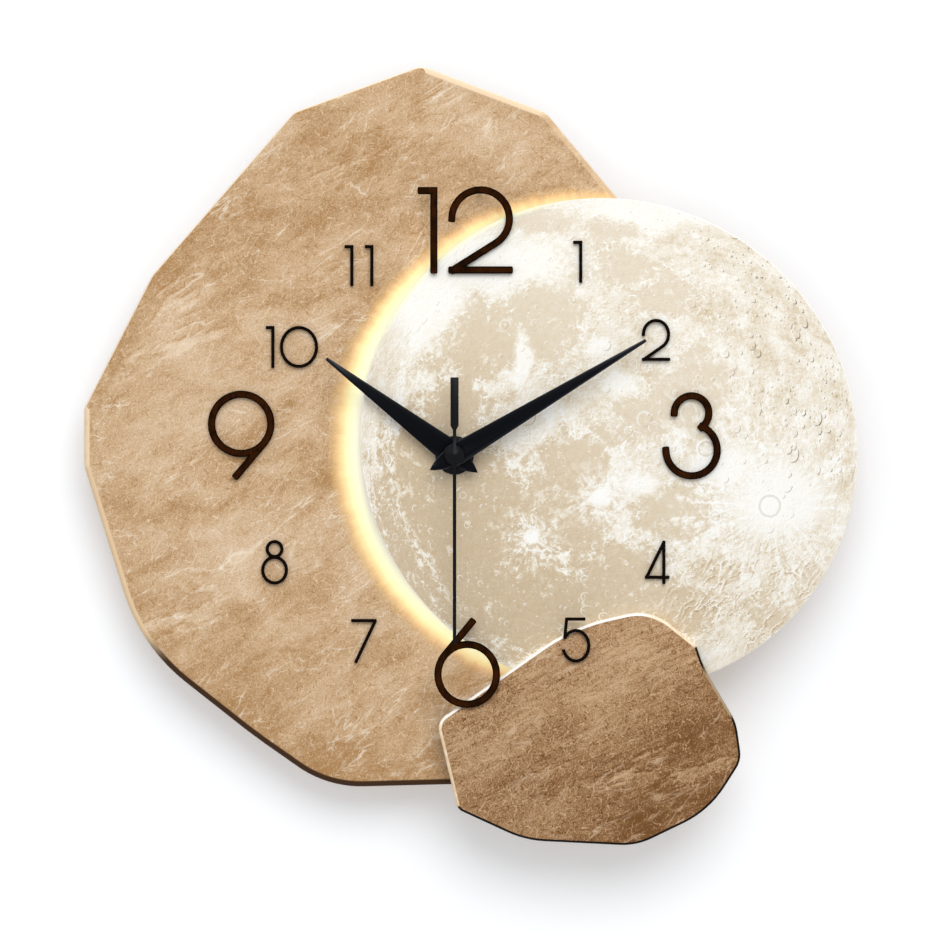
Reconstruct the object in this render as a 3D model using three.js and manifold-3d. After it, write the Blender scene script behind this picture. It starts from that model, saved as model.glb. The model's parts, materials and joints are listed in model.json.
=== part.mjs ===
// A layered wooden wall clock: a many-sided base board, an oval moon disc and a pebble-shaped
// board stacked in front of each other, raised numerals, three hands and a battery quartz movement.
// Millimetres. Pieces are drawn as seen from the front: x to the right, y up, z out from the wall.
// The last group turns that drawing so that +Z is up and the dial faces -Y, with the wall at y = 0.
import * as THREE from "three";
import { mergeVertices } from "three/addons/utils/BufferGeometryUtils.js";
import Module from "manifold-3d";

const wasm = await Module();
wasm.setup();

// Boards: corners are x, y and corner radius, measured from the hand arbor.
const BASE_CORNERS = [
  [-17.3, 201.2, 10],
  [-82.9, 177.3, 8],
  [-156.2, 93.1, 15],
  [-191.3, 24.5, 8],
  [-191.3, -5.5, 10],
  [-162.0, -98.9, 95],
  [-103.8, -144.8, 200],
  [-65.7, -171.5, 57],
  [54.3, -168.4, 20],
  [105.9, -95.2, 60],
  [126.5, 18.2, 60],
  [100.7, 112.8, 30],
  [47.1, 177.0, 12],
];
const BASE_THICKNESS = 9;
const BASE_CHAMFER = 2.8;
const MOON_CENTRE_X = 79.6;
const MOON_CENTRE_Y = 5.4;
const MOON_LONG_RADIUS = 129.8;
const MOON_SHORT_RADIUS = 125.4;
const MOON_TILT_DEGREES = -37;
const MOON_THICKNESS = 5;
const MOON_CHAMFER = 0.6;
const MOON_STANDOFF = 4;
const PEBBLE_CORNERS = [
  [-9.2, -137.2, 8],
  [1.5, -182.1, 6],
  [36.3, -198.1, 52],
  [93.6, -200.9, 34],
  [131.0, -182.9, 63],
  [147.6, -156.9, 13.5],
  [144.9, -137.4, 26],
  [127.9, -108.5, 57],
  [124.4, -97.9, 5],
  [101.1, -79.1, 26.6],
  [60.9, -88.0, 96],
];
const PEBBLE_THICKNESS = 5;
const PEBBLE_CHAMFER = 1.8;

// Blocks between the boards.
const SPACER_RADIUS = 10;
const SPACER_PLACES = [
  [8, 62],
  [8, -58],
  [92, 62],
  [84, -62],
];
const PEBBLE_BLOCK_WIDTH = 50;
const PEBBLE_BLOCK_HEIGHT = 22;
const PEBBLE_BLOCK_X = 38;
const PEBBLE_BLOCK_Y = -147;

// Raised numerals: outer box of each digit by its middle, width and height.
const BIG_STROKE = 3.75;
const SMALL_STROKE = 1.65;
const BIG_NUMERAL_THICKNESS = 2.5;
const SMALL_NUMERAL_THICKNESS = 2;
const NUMERAL_CHAMFER_SHARE = 0.16;
const NUMERALS = [
  { name: "numeral_12_ten", glyph: "one", board: "moon", x: -13.95, y: 115.8, width: 10.3, height: 44.6 },
  { name: "numeral_12_unit", glyph: "two", board: "moon", x: 13.4, y: 116, width: 33.4, height: 45 },
  { name: "numeral_1", glyph: "one", board: "moon", x: 63.4, y: 99.6, width: 4.7, height: 21.7 },
  { name: "numeral_2", glyph: "two", board: "moon", x: 103.7, y: 59.4, width: 14.6, height: 21.7 },
  { name: "numeral_3", glyph: "three", board: "moon", x: 122.0, y: 10.0, width: 30.2, height: 45 },
  { name: "numeral_4", glyph: "four", board: "moon", x: 104.3, y: -55.0, width: 12.7, height: 22.6 },
  { name: "numeral_5", glyph: "five", board: "pebble", x: 62.4, y: -95.0, width: 14.9, height: 23.2 },
  { name: "numeral_6", glyph: "six", board: "pebble", x: 6.5, y: -106.9, width: 33.9, height: 46 },
  { name: "numeral_7", glyph: "seven", board: "base", x: -46.7, y: -95.8, width: 13.4, height: 22.7 },
  { name: "numeral_8", glyph: "eight", board: "base", x: -92.9, y: -55.2, width: 13.9, height: 23 },
  { name: "numeral_9", glyph: "nine", board: "base", x: -110.1, y: 10.5, width: 34.4, height: 45.8 },
  { name: "numeral_10_ten", glyph: "one", board: "base", x: -95.2, y: 55.9, width: 4.5, height: 21.7 },
  { name: "numeral_10_unit", glyph: "zero", board: "base", x: -80.3, y: 55.9, width: 19.8, height: 21.7 },
  { name: "numeral_11_ten", glyph: "one", board: "base", x: -54.5, y: 97.9, width: 4.6, height: 21.2 },
  { name: "numeral_11_unit", glyph: "one", board: "base", x: -44.1, y: 97.9, width: 4.4, height: 21.2 },
];
const BIG_NUMERAL_HEIGHT = 30; // digits taller than this take the big stroke
const STAND_OFF_RADIUS = 1.4;

// Hands, drawn pointing up, with their clockwise angle from twelve.
const HAND_THICKNESS = 0.8;
const HAND_GAP = 2;
const HOUR_LENGTH = 82.6;
const HOUR_WIDTH = 12.4;
const HOUR_ANGLE_DEGREES = -53;
const MINUTE_LENGTH = 114.7;
const MINUTE_WIDTH = 10.9;
const MINUTE_ANGLE_DEGREES = 59;
const HAND_SHOULDER = 7;
const HAND_TIP_WIDTH = 1.7;
const HAND_TAIL = 15;
const HAND_HUB_RADIUS = 5.6;
const SECOND_LENGTH = 97;
const SECOND_WIDTH = 1.8;
const SECOND_ANGLE_DEGREES = 180;
const COUNTERWEIGHT_LENGTH = 40;
const COUNTERWEIGHT_WIDTH = 4.2;
const COUNTERWEIGHT_START = 13;
const SECOND_CONE_RADIUS = 5;
const SECOND_CONE_HEIGHT = 3.2;

// Fixings at the middle.
const BUSH_RADIUS = 4;
const BUSH_FLANGE = 1;
const BUSH_FLANGE_RADIUS = 5.6;
const BUSH_OVER_NUT = 0.6;
const HUB_WASHER_RADIUS = 10;
const HUB_WASHER_THICKNESS = 1.2;
const NUT_THICKNESS = 2.8;
const NUT_ACROSS_FLATS = 12;
const RUBBER_RADIUS = 11;
const RUBBER_THICKNESS = 1;

// Hanger and wall pads.
const HANGER_THICKNESS = 1;
const HANGER_WIDTH = 30;
const HANGER_FOOT = 14;
const HANGER_RISE = 34;
const HANGER_TAB_HEIGHT = 30;
const HANGER_WALL_GAP = 1;
const KEYHOLE_RADIUS = 4.8;
const KEYHOLE_SLOT_WIDTH = 4.6;
const KEYHOLE_SLOT_LENGTH = 10;
const KEYHOLE_ABOVE_BEND = 10;
const WALL_PAD_RADIUS = 8;
const WALL_PAD_PLACES = { lower_pad_left: [-108, -100], lower_pad_right: [62, -118] };

// Quartz movement.
const FIT = 0.3; // clearance between neighbouring pieces
const RUNNING_FIT = 0.15; // clearance of a pivot in its hole
const BATTERY_LENGTH = 50.5;
const BATTERY_DIAMETER = 14.5;
const BATTERY_NUB_LENGTH = 1.2;
const BATTERY_NUB_RADIUS = 2.7;
const BATTERY_RECESS = 0.6;
const CONTACT_THICKNESS = 0.5;
const CONTACT_WIDTH = 6;
const CASE_WALL = 1.5;
const CASE_CORNER = 4;
const COVER_THICKNESS = 1.5;
const FRONT_PLATE = 1.4;
const PARTITION = 1;
const ROOF_ABOVE_ARBOR = 25.8;
const WHEEL_THICKNESS = 0.8;
const LAYER_GAP = 0.7;
const MIDDLE_PLATE = 1;
const ARBOR_RADIUS = 0.6;
const CENTRE_TUBE_RADIUS = 1.6;
const HOUR_TUBE_WALL = 0.6;
const PIVOT_DEPTH = 0.7;
const POST_RADIUS = 1.6;
const POST_PLACES = [
  [-15, -6],
  [-14.5, 12.5],
  [15.2, -6],
];
const KNOB_RADIUS = 5.8;
const KNOB_THICKNESS = 1.2;
const KNOB_RECESS = 0.4;
const KNOB_RIBS = 20;
const ROTOR_MAGNET_RADIUS = 2.4;
const ROTOR_MAGNET_THICKNESS = 2;
const STATOR_THICKNESS = 1;
const STATOR_ARM = 3.2;
const CORE_THICKNESS = 1.6;
const COIL_RADIUS = 3.4;
const COIL_LENGTH = 17;
const CIRCUIT_THICKNESS = 0.8;
const CIRCUIT_HEIGHT = 8;
const QUARTZ_RADIUS = 1;
const QUARTZ_LENGTH = 6;

// Tooth counts and modules of the train, from the motor to the hour wheel.
const MOTOR_PINION_TEETH = 8;
const INTERMEDIATE_TEETH = 48;
const MOTOR_MODULE = 0.25;
const INTERMEDIATE_PINION_TEETH = 8;
const SECONDS_TEETH = 40;
const SECONDS_MODULE = 0.3;
const SECONDS_PINION_TEETH = 8;
const THIRD_TEETH = 60;
const THIRD_PINION_TEETH = 8;
const CENTRE_TEETH = 64;
const CENTRE_MODULE = 0.28;
const CANNON_TEETH = 10;
const MOTION_TEETH = 30;
const MOTION_MODULE = 0.52;
const MOTION_PINION_TEETH = 10;
const HOUR_TEETH = 40;
const THIRD_DIRECTION_DEGREES = 150;
const MOTION_DIRECTION_DEGREES = 60;
const INTERMEDIATE_DIRECTION_DEGREES = -10;
const ROTOR_DIRECTION_DEGREES = 20;

// Fineness of round shapes.
const SIDES = 24;
const PIN_SIDES = 12;
const ARC_STEP_DEGREES = 10;
const MOON_SIDES = 90;
const MERGE = 1e-4;

// Plane helpers.
const radians = THREE.MathUtils.degToRad;
const at = (x, y) => new THREE.Vector2(x, y);

function polar(distance, degrees, [x, y] = [0, 0]) {
  const angle = radians(degrees);
  return [x + distance * Math.cos(angle), y + distance * Math.sin(angle)];
}

// A corner rounded by an arc that touches both of its edges.
function cornerArc(before, corner, after, radius) {
  const toBefore = before.clone().sub(corner);
  const toAfter = after.clone().sub(corner);
  const room = 0.48 * Math.min(toBefore.length(), toAfter.length());
  toBefore.normalize();
  toAfter.normalize();
  const half = Math.acos(THREE.MathUtils.clamp(toBefore.dot(toAfter), -1, 1)) / 2;
  const reach = Math.min(radius / Math.tan(half), room);
  const arcRadius = reach * Math.tan(half);
  const middle = toBefore.clone().add(toAfter).normalize();
  const centre = corner.clone().addScaledVector(middle, arcRadius / Math.sin(half));
  const first = corner.clone().addScaledVector(toBefore, reach).sub(centre);
  const last = corner.clone().addScaledVector(toAfter, reach).sub(centre);
  const turn = Math.atan2(first.cross(last), first.dot(last));
  const steps = Math.max(1, Math.ceil(Math.abs(turn) / radians(ARC_STEP_DEGREES)));
  return Array.from({ length: steps + 1 }, (_, i) =>
    first.clone().rotateAround(at(0, 0), (turn * i) / steps).add(centre),
  );
}

function roundedOutline(corners) {
  const points = corners.map(([x, y]) => at(x, y));
  const count = points.length;
  return corners.flatMap(([, , radius], i) =>
    cornerArc(points[(i + count - 1) % count], points[i], points[(i + 1) % count], radius),
  );
}

function rectangle(left, bottom, right, top, radius) {
  const corners = [[left, bottom], [right, bottom], [right, top], [left, top]];
  return radius > 0
    ? roundedOutline(corners.map(([x, y]) => [x, y, radius]))
    : corners.map(([x, y]) => at(x, y));
}

function circle(radius, [x, y] = [0, 0], sides = SIDES) {
  return Array.from({ length: sides }, (_, i) => at(...polar(radius, (360 * i) / sides, [x, y])));
}

// The outline moved inwards by a distance, corner by corner.
function inset(points, distance) {
  const count = points.length;
  return points.map((point, i) => {
    const along = point.clone().sub(points[(i + count - 1) % count]).normalize();
    const onward = points[(i + 1) % count].clone().sub(point).normalize();
    const inward = at(-along.y - onward.y, along.x + onward.x);
    return point.clone().addScaledVector(inward, distance / (1 + along.dot(onward)));
  });
}

// Solid helpers.
function meshGeometry(positions, triangles) {
  const geometry = new THREE.BufferGeometry();
  geometry.setAttribute("position", new THREE.Float32BufferAttribute(positions, 3));
  geometry.setIndex(triangles);
  return geometry;
}

// A closed solid through rings of equal point count, given as [outline, z] from back to front.
function loft(...given) {
  const clockwise = THREE.ShapeUtils.isClockWise(given[0][0]);
  const rings = given.map(([points, z]) => [clockwise ? [...points].reverse() : points, z]);
  const count = rings[0][0].length;
  const positions = rings.flatMap(([points, z]) => points.flatMap((p) => [p.x, p.y, z]));
  const triangles = [];
  for (let ring = 0; ring + 1 < rings.length; ring++) {
    for (let i = 0; i < count; i++) {
      const [a, b] = [ring * count + i, ring * count + ((i + 1) % count)];
      triangles.push(a, b, b + count, a, b + count, a + count);
    }
  }
  const last = (rings.length - 1) * count;
  for (const [a, b, c] of THREE.ShapeUtils.triangulateShape(rings[0][0], [])) {
    triangles.push(c, b, a);
  }
  for (const [a, b, c] of THREE.ShapeUtils.triangulateShape(rings.at(-1)[0], [])) {
    triangles.push(last + a, last + b, last + c);
  }
  return meshGeometry(positions, triangles);
}

const prism = (points, back, front) => loft([points, back], [points, front]);
const disc = (radius, back, front, place, sides) => prism(circle(radius, place, sides), back, front);

function chamferedBoard(points, back, front, chamfer) {
  const counterClockwise = THREE.ShapeUtils.isClockWise(points) ? [...points].reverse() : points;
  return loft(
    [counterClockwise, back],
    [counterClockwise, front - chamfer],
    [inset(counterClockwise, chamfer), front],
  );
}

// A turned piece about the z axis from a profile of [radius, z].
function turned(profile, sides = SIDES) {
  const points = profile.map(([radius, z]) => at(radius, z));
  return new THREE.LatheGeometry(points, sides).rotateX(Math.PI / 2);
}

const tube = (inner, outer, back, front) =>
  turned([[inner, back], [outer, back], [outer, front], [inner, front], [inner, back]]);

function solidOf(geometry) {
  const bare = geometry.clone();
  bare.deleteAttribute("normal");
  bare.deleteAttribute("uv");
  const merged = mergeVertices(bare, MERGE);
  const index = merged.index.array;
  const kept = [];
  for (let i = 0; i < index.length; i += 3) {
    const [a, b, c] = index.slice(i, i + 3);
    if (a !== b && b !== c && c !== a) kept.push(a, b, c);
  }
  const vertProperties = merged.attributes.position.array;
  return new wasm.Manifold(
    new wasm.Mesh({ numProp: 3, vertProperties, triVerts: new Uint32Array(kept) }),
  );
}

function geometryOf(solid) {
  const { vertProperties, triVerts } = solid.getMesh();
  return meshGeometry(Array.from(vertProperties), Array.from(triVerts));
}

const join = (...geometries) => geometryOf(geometries.map(solidOf).reduce((a, b) => a.add(b)));
const cut = (geometry, ...tools) =>
  geometryOf(tools.map(solidOf).reduce((a, b) => a.subtract(b), solidOf(geometry)));

// The named pieces, each a mesh with its own material.
const clock = new THREE.Group();

function add(name, geometry, [color, roughness, metalness], place = [0, 0], clockwiseDegrees = 0) {
  geometry.computeVertexNormals();
  const material = new THREE.MeshStandardMaterial({ color, roughness, metalness });
  const mesh = new THREE.Mesh(geometry, material);
  mesh.name = name;
  mesh.position.set(place[0], place[1], 0);
  mesh.rotation.z = -radians(clockwiseDegrees);
  clock.add(mesh);
}

const STONE_PRINT = [0xc8a67e, 0.55, 0];
const MOON_PRINT = [0xe9dfcc, 0.55, 0];
const PEBBLE_PRINT = [0xa98562, 0.55, 0];
const BOARD_WOOD = [0x8a6a48, 0.8, 0];
const NUMERAL_BROWN = [0x2a1408, 0.45, 0];
const SATIN_BLACK = [0x14151a, 0.5, 0.2];
const CASE_BLACK = [0x18191b, 0.6, 0];
const STEEL = [0xb8bcc0, 0.35, 1];
const BRASS = [0xc9a24a, 0.3, 1];
const RUBBER = [0x1b1b1c, 0.9, 0];
const WHEEL_WHITE = [0xe8e6dc, 0.5, 0];
const COPPER = [0xb8683a, 0.4, 0.6];
const CIRCUIT_GREEN = [0x2f6b3a, 0.6, 0];
const CELL_GREY = [0x5d636b, 0.35, 0.3];

// Centre distances and places of the train.
const meshDistance = (teeth, others, module) => (module * (teeth + others)) / 2;
const secondsToThird = meshDistance(THIRD_PINION_TEETH, CENTRE_TEETH, CENTRE_MODULE);
const THIRD_MODULE = (2 * secondsToThird) / (SECONDS_PINION_TEETH + THIRD_TEETH);
const centreToMotion = meshDistance(CANNON_TEETH, MOTION_TEETH, MOTION_MODULE);
const HOUR_MODULE = (2 * centreToMotion) / (MOTION_PINION_TEETH + HOUR_TEETH);
const arborPlace = [0, 0];
const thirdPlace = polar(secondsToThird, THIRD_DIRECTION_DEGREES);
const motionPlace = polar(centreToMotion, MOTION_DIRECTION_DEGREES);
const intermediatePlace = polar(
  meshDistance(INTERMEDIATE_PINION_TEETH, SECONDS_TEETH, SECONDS_MODULE),
  INTERMEDIATE_DIRECTION_DEGREES,
);
const rotorPlace = polar(
  meshDistance(MOTOR_PINION_TEETH, INTERMEDIATE_TEETH, MOTOR_MODULE),
  ROTOR_DIRECTION_DEGREES,
  intermediatePlace,
);

// Depths from the wall, layer by layer.
const layerStep = WHEEL_THICKNESS + LAYER_GAP;
const motorLayer = COVER_THICKNESS + LAYER_GAP;
const secondsLayer = motorLayer + layerStep;
const thirdLayer = secondsLayer + layerStep;
const plateBack = thirdLayer + layerStep;
const plateFront = plateBack + MIDDLE_PLATE;
const centreLayer = plateFront + LAYER_GAP;
const motionLayer = centreLayer + layerStep;
const hourLayer = motionLayer + layerStep;
const trainFront = hourLayer + WHEEL_THICKNESS + LAYER_GAP + BUSH_FLANGE;
const caseInnerFront = Math.max(BATTERY_RECESS + BATTERY_DIAMETER + FIT, trainFront);
const caseFront = caseInnerFront + FRONT_PLATE;
const hangerFront = caseFront + HANGER_THICKNESS;
const baseBack = hangerFront + RUBBER_THICKNESS;
const baseFront = baseBack + BASE_THICKNESS;
const moonBack = baseFront + MOON_STANDOFF;
const moonFront = moonBack + MOON_THICKNESS;
const pebbleFront = moonFront + PEBBLE_THICKNESS;
const hubWasherFront = moonFront + HUB_WASHER_THICKNESS;
const nutFront = hubWasherFront + NUT_THICKNESS;
const bushFront = nutFront + BUSH_OVER_NUT;
const hourBlade = Math.max(bushFront + FIT, moonFront + BIG_NUMERAL_THICKNESS) + FIT;
const hourHandFront = hourBlade + HAND_THICKNESS;
const minuteBlade = Math.max(hourHandFront, pebbleFront + BIG_NUMERAL_THICKNESS) + HAND_GAP;
const minuteHandFront = minuteBlade + HAND_THICKNESS;
const secondBlade = minuteHandFront + HAND_GAP;
const secondHandFront = secondBlade + HAND_THICKNESS;

// Radii of the nested tubes at the middle.
const centreBore = ARBOR_RADIUS + 2 * RUNNING_FIT;
const hourTubeInner = CENTRE_TUBE_RADIUS + 2 * RUNNING_FIT;
const hourTubeOuter = hourTubeInner + HOUR_TUBE_WALL;
const bushBore = hourTubeOuter + 2 * RUNNING_FIT;
const middleHole = BUSH_RADIUS + FIT;
const pivotHole = ARBOR_RADIUS + RUNNING_FIT;

// Boards and the blocks that part them.
function buildBoards() {
  const hole = disc(middleHole, baseBack - 1, moonFront + 1);
  const base = roundedOutline(BASE_CORNERS);
  const baseBoard = chamferedBoard(base, baseBack, baseFront, BASE_CHAMFER);
  add("base_board", cut(baseBoard, hole), STONE_PRINT);

  const moonCurve = new THREE.EllipseCurve(
    MOON_CENTRE_X, MOON_CENTRE_Y, MOON_LONG_RADIUS, MOON_SHORT_RADIUS,
    0, 2 * Math.PI, false, radians(MOON_TILT_DEGREES),
  );
  const moon = moonCurve.getPoints(MOON_SIDES).slice(0, MOON_SIDES);
  const moonBoard = chamferedBoard(moon, moonBack, moonFront, MOON_CHAMFER);
  add("moon_board", cut(moonBoard, hole), MOON_PRINT);

  const pebble = roundedOutline(PEBBLE_CORNERS);
  add("pebble_board", chamferedBoard(pebble, moonFront, pebbleFront, PEBBLE_CHAMFER), PEBBLE_PRINT);

  SPACER_PLACES.forEach((place, i) =>
    add(`moon_spacer_${i + 1}`, disc(SPACER_RADIUS, baseFront, moonBack), BOARD_WOOD, place),
  );
  const [halfWidth, halfHeight] = [PEBBLE_BLOCK_WIDTH / 2, PEBBLE_BLOCK_HEIGHT / 2];
  const block = prism(rectangle(-halfWidth, -halfHeight, halfWidth, halfHeight), baseFront, moonFront);
  add("pebble_block", block, BOARD_WOOD, [PEBBLE_BLOCK_X, PEBBLE_BLOCK_Y]);
}

// Numeral strokes in a unit box: arcs run clockwise between two angles, rings close on themselves.
function arc(centreX, centreY, radiusX, radiusY, from, to) {
  const steps = Math.ceil(Math.abs(from - to) / ARC_STEP_DEGREES);
  return Array.from({ length: steps + 1 }, (_, i) => {
    const angle = radians(from + ((to - from) * i) / steps);
    return at(centreX + radiusX * Math.cos(angle), centreY + radiusY * Math.sin(angle));
  });
}

const open = (...points) => ({ points, closed: false });
const ring = (x, y, radiusX, radiusY) => ({
  points: arc(x, y, radiusX, radiusY, 360, 0).slice(1),
  closed: true,
});
const turnedRound = ({ points, closed }) => ({
  points: points.map((p) => at(1 - p.x, 1 - p.y)),
  closed,
});

const SIX = [
  ring(0.5, 0.364, 0.5, 0.364),
  open(...arc(0.5, 0.364, 0.5, 0.364, 141, 141 - ARC_STEP_DEGREES).slice(0, 1), at(0.58, 1)),
];
const GLYPHS = {
  zero: [ring(0.5, 0.5, 0.5, 0.5)],
  one: [open(at(0, 1), at(1, 1), at(1, 0))],
  two: [open(...arc(0.5, 0.641, 0.5, 0.359, 180, -57), at(0.02, 0)), open(at(0, 0), at(1, 0))],
  three: [
    open(...arc(0.5, 0.784, 0.337, 0.216, 180, -55)),
    open(...arc(0.5, 0.322, 0.5, 0.322, 66, -180)),
  ],
  four: [
    open(at(0.81, 0), at(0.81, 0.99)),
    open(at(0.8, 0.98), at(0.02, 0.14)),
    open(at(0, 0.127), at(1, 0.127)),
  ],
  five: [
    open(at(0.81, 1), at(0.14, 1), at(0.07, 0.58)),
    open(...arc(0.5, 0.364, 0.5, 0.364, 147, -160)),
  ],
  six: SIX,
  seven: [open(at(0, 1), at(0.98, 1)), open(at(0.98, 0.98), at(0.15, 0))],
  eight: [ring(0.5, 0.82, 0.31, 0.18), ring(0.5, 0.31, 0.5, 0.31)],
  nine: SIX.map(turnedRound),
};

// One stroke as a bar of chamfered section swept along its line, with softly squared ends.
function stroke(points, closed, half, back, front, chamfer) {
  const count = points.length;
  const heading = (i, j) => points[j].clone().sub(points[i]).normalize();
  const stations = points.map((point, i) => {
    const first = !closed && i === 0;
    const last = !closed && i === count - 1;
    const onward = last ? heading(i - 1, i) : heading(i, (i + 1) % count);
    const along = first ? onward : heading((i + count - 1) % count, i);
    const side = at(-along.y - onward.y, along.x + onward.x).divideScalar(1 + along.dot(onward));
    return { point, side, half };
  });
  if (!closed) {
    const soft = 0.45 * half;
    const cap = (point, side, outward) =>
      [0, Math.SQRT1_2, 1].map((share, i) => ({
        point: point.clone().addScaledVector(outward, half - soft + share * soft),
        side,
        half: half - soft * [0, 1 - Math.SQRT1_2, 1][i],
      }));
    const start = stations[0];
    const end = stations.at(-1);
    stations.unshift(...cap(start.point, start.side, heading(1, 0)).reverse());
    stations.push(...cap(end.point, end.side, heading(count - 2, count - 1)));
  }
  const section = (reach) => [
    [-reach, back], [-reach, front - chamfer], [chamfer - reach, front],
    [reach - chamfer, front], [reach, front - chamfer], [reach, back],
  ];
  const corners = 6;
  const positions = stations.flatMap(({ point, side, half: reach }) =>
    section(reach).flatMap(([off, z]) => [point.x + side.x * off, point.y + side.y * off, z]),
  );
  const triangles = [];
  const spans = closed ? stations.length : stations.length - 1;
  for (let i = 0; i < spans; i++) {
    const next = ((i + 1) % stations.length) * corners;
    for (let k = 0; k < corners; k++) {
      const above = (k + 1) % corners;
      const [a, b, c, d] = [i * corners + k, i * corners + above, next + above, next + k];
      triangles.push(a, d, b, b, d, c);
    }
  }
  if (!closed) {
    const end = (stations.length - 1) * corners;
    for (let k = 1; k + 1 < corners; k++) {
      triangles.push(0, k, k + 1, end, end + k + 1, end + k);
    }
  }
  return meshGeometry(positions, triangles);
}

function buildNumerals() {
  const seats = { base: baseFront, moon: moonFront, pebble: pebbleFront };
  for (const { name, glyph, board, x, y, width, height } of NUMERALS) {
    const big = height > BIG_NUMERAL_HEIGHT;
    const half = (big ? BIG_STROKE : SMALL_STROKE) / 2;
    const back = seats[board];
    const front = back + (big ? BIG_NUMERAL_THICKNESS : SMALL_NUMERAL_THICKNESS);
    const chamfer = 2 * half * NUMERAL_CHAMFER_SHARE;
    const place = (p) => at((p.x - 0.5) * (width - 2 * half), (p.y - 0.5) * (height - 2 * half));
    const strokes = GLYPHS[glyph].map(({ points, closed }) =>
      stroke(points.map(place), closed, half, back, front, chamfer),
    );
    add(name, join(...strokes), NUMERAL_BROWN, [x, y]);
  }
}

// Pins behind the digits that reach past the edge of the board they sit on.
function buildStandOffs() {
  const digit = (name) => NUMERALS.find((numeral) => numeral.name === name);
  const [ten, unit, six] = ["numeral_12_ten", "numeral_12_unit", "numeral_6"].map(digit);
  const inner = (length) => length / 2 - BIG_STROKE / 2;
  const pin = (name, back, front, place) =>
    add(name, disc(STAND_OFF_RADIUS, back, front, arborPlace, PIN_SIDES), BOARD_WOOD, place);
  pin("stand_off_12_ten", baseFront, moonFront, [ten.x + inner(ten.width), ten.y + inner(ten.height)]);
  pin("stand_off_12_unit", baseFront, moonFront, [unit.x, unit.y + inner(unit.height)]);
  pin("stand_off_6", moonFront, pebbleFront, [
    six.x + 0.16 * inner(six.width),
    six.y + inner(six.height),
  ]);
}

// Hands: a long tapered blade with a short spike of hollow sides behind the hub.
function bladeOutline(length, width) {
  const half = width / 2;
  const tip = HAND_TIP_WIDTH / 2;
  const hub = HAND_HUB_RADIUS;
  const waist = 0.75 * hub;
  const flank = 0.8 * hub;
  const hollow = new THREE.QuadraticBezierCurve(
    at(-flank, -0.4 * hub), at(-waist, -1.6 * hub), at(0, -HAND_TAIL),
  );
  const left = hollow.getPoints(5);
  const right = left.slice(0, -1).reverse().map((p) => at(-p.x, p.y));
  return [
    at(tip, length), at(-tip, length), at(-half, HAND_SHOULDER), at(-hub, 0),
    ...left, ...right, at(hub, 0), at(half, HAND_SHOULDER),
  ];
}

function buildHands() {
  const hourBore = disc(hourTubeOuter + RUNNING_FIT, bushFront, secondHandFront);
  const hour = join(
    prism(bladeOutline(HOUR_LENGTH, HOUR_WIDTH), hourBlade, hourHandFront),
    disc(HAND_HUB_RADIUS, bushFront + FIT, hourHandFront),
  );
  add("hour_hand", cut(hour, hourBore), SATIN_BLACK, arborPlace, HOUR_ANGLE_DEGREES);

  const minuteBore = disc(CENTRE_TUBE_RADIUS + RUNNING_FIT, bushFront, secondHandFront);
  const minute = join(
    prism(bladeOutline(MINUTE_LENGTH, MINUTE_WIDTH), minuteBlade, minuteHandFront),
    disc(HAND_HUB_RADIUS, hourHandFront + 2 * FIT, minuteHandFront),
  );
  add("minute_hand", cut(minute, minuteBore), SATIN_BLACK, arborPlace, MINUTE_ANGLE_DEGREES);

  const [thin, wide] = [SECOND_WIDTH / 2, COUNTERWEIGHT_WIDTH / 2];
  const needle = [
    at(thin, SECOND_LENGTH), at(-thin, SECOND_LENGTH), at(-thin, -COUNTERWEIGHT_START),
    at(-wide, -COUNTERWEIGHT_START - wide), at(-wide, -COUNTERWEIGHT_LENGTH),
    at(wide, -COUNTERWEIGHT_LENGTH), at(wide, -COUNTERWEIGHT_START - wide),
    at(thin, -COUNTERWEIGHT_START),
  ];
  const coneTop = secondBlade + SECOND_CONE_HEIGHT;
  const cone = turned([
    [0, minuteHandFront + 2 * FIT], [SECOND_CONE_RADIUS, minuteHandFront + 2 * FIT],
    [SECOND_CONE_RADIUS, secondHandFront], [0.2 * SECOND_CONE_RADIUS, coneTop], [0, coneTop],
  ]);
  const secondBore = disc(pivotHole, bushFront, secondHandFront, arborPlace, PIN_SIDES);
  const second = cut(join(prism(needle, secondBlade, secondHandFront), cone), secondBore);
  add("second_hand", second, SATIN_BLACK, arborPlace, SECOND_ANGLE_DEGREES);
}

// Threaded bush, rubber washer, hub washer and nut that clamp the boards to the movement.
function buildFixings() {
  const bush = turned([
    [bushBore, caseInnerFront - BUSH_FLANGE], [BUSH_FLANGE_RADIUS, caseInnerFront - BUSH_FLANGE],
    [BUSH_FLANGE_RADIUS, caseInnerFront], [BUSH_RADIUS, caseInnerFront], [BUSH_RADIUS, bushFront],
    [bushBore, bushFront], [bushBore, caseInnerFront - BUSH_FLANGE],
  ]);
  add("threaded_bush", bush, BRASS);
  add("rubber_washer", tube(middleHole, RUBBER_RADIUS, hangerFront, baseBack), RUBBER);
  add("hub_washer", tube(middleHole, HUB_WASHER_RADIUS, moonFront, hubWasherFront), SATIN_BLACK);
  const acrossCorners = NUT_ACROSS_FLATS / Math.cos(Math.PI / 6);
  const nut = disc(acrossCorners / 2, hubWasherFront, nutFront, arborPlace, 6);
  add("hex_nut", cut(nut, disc(middleHole, hubWasherFront - 1, nutFront + 1)), SATIN_BLACK);
}

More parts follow.
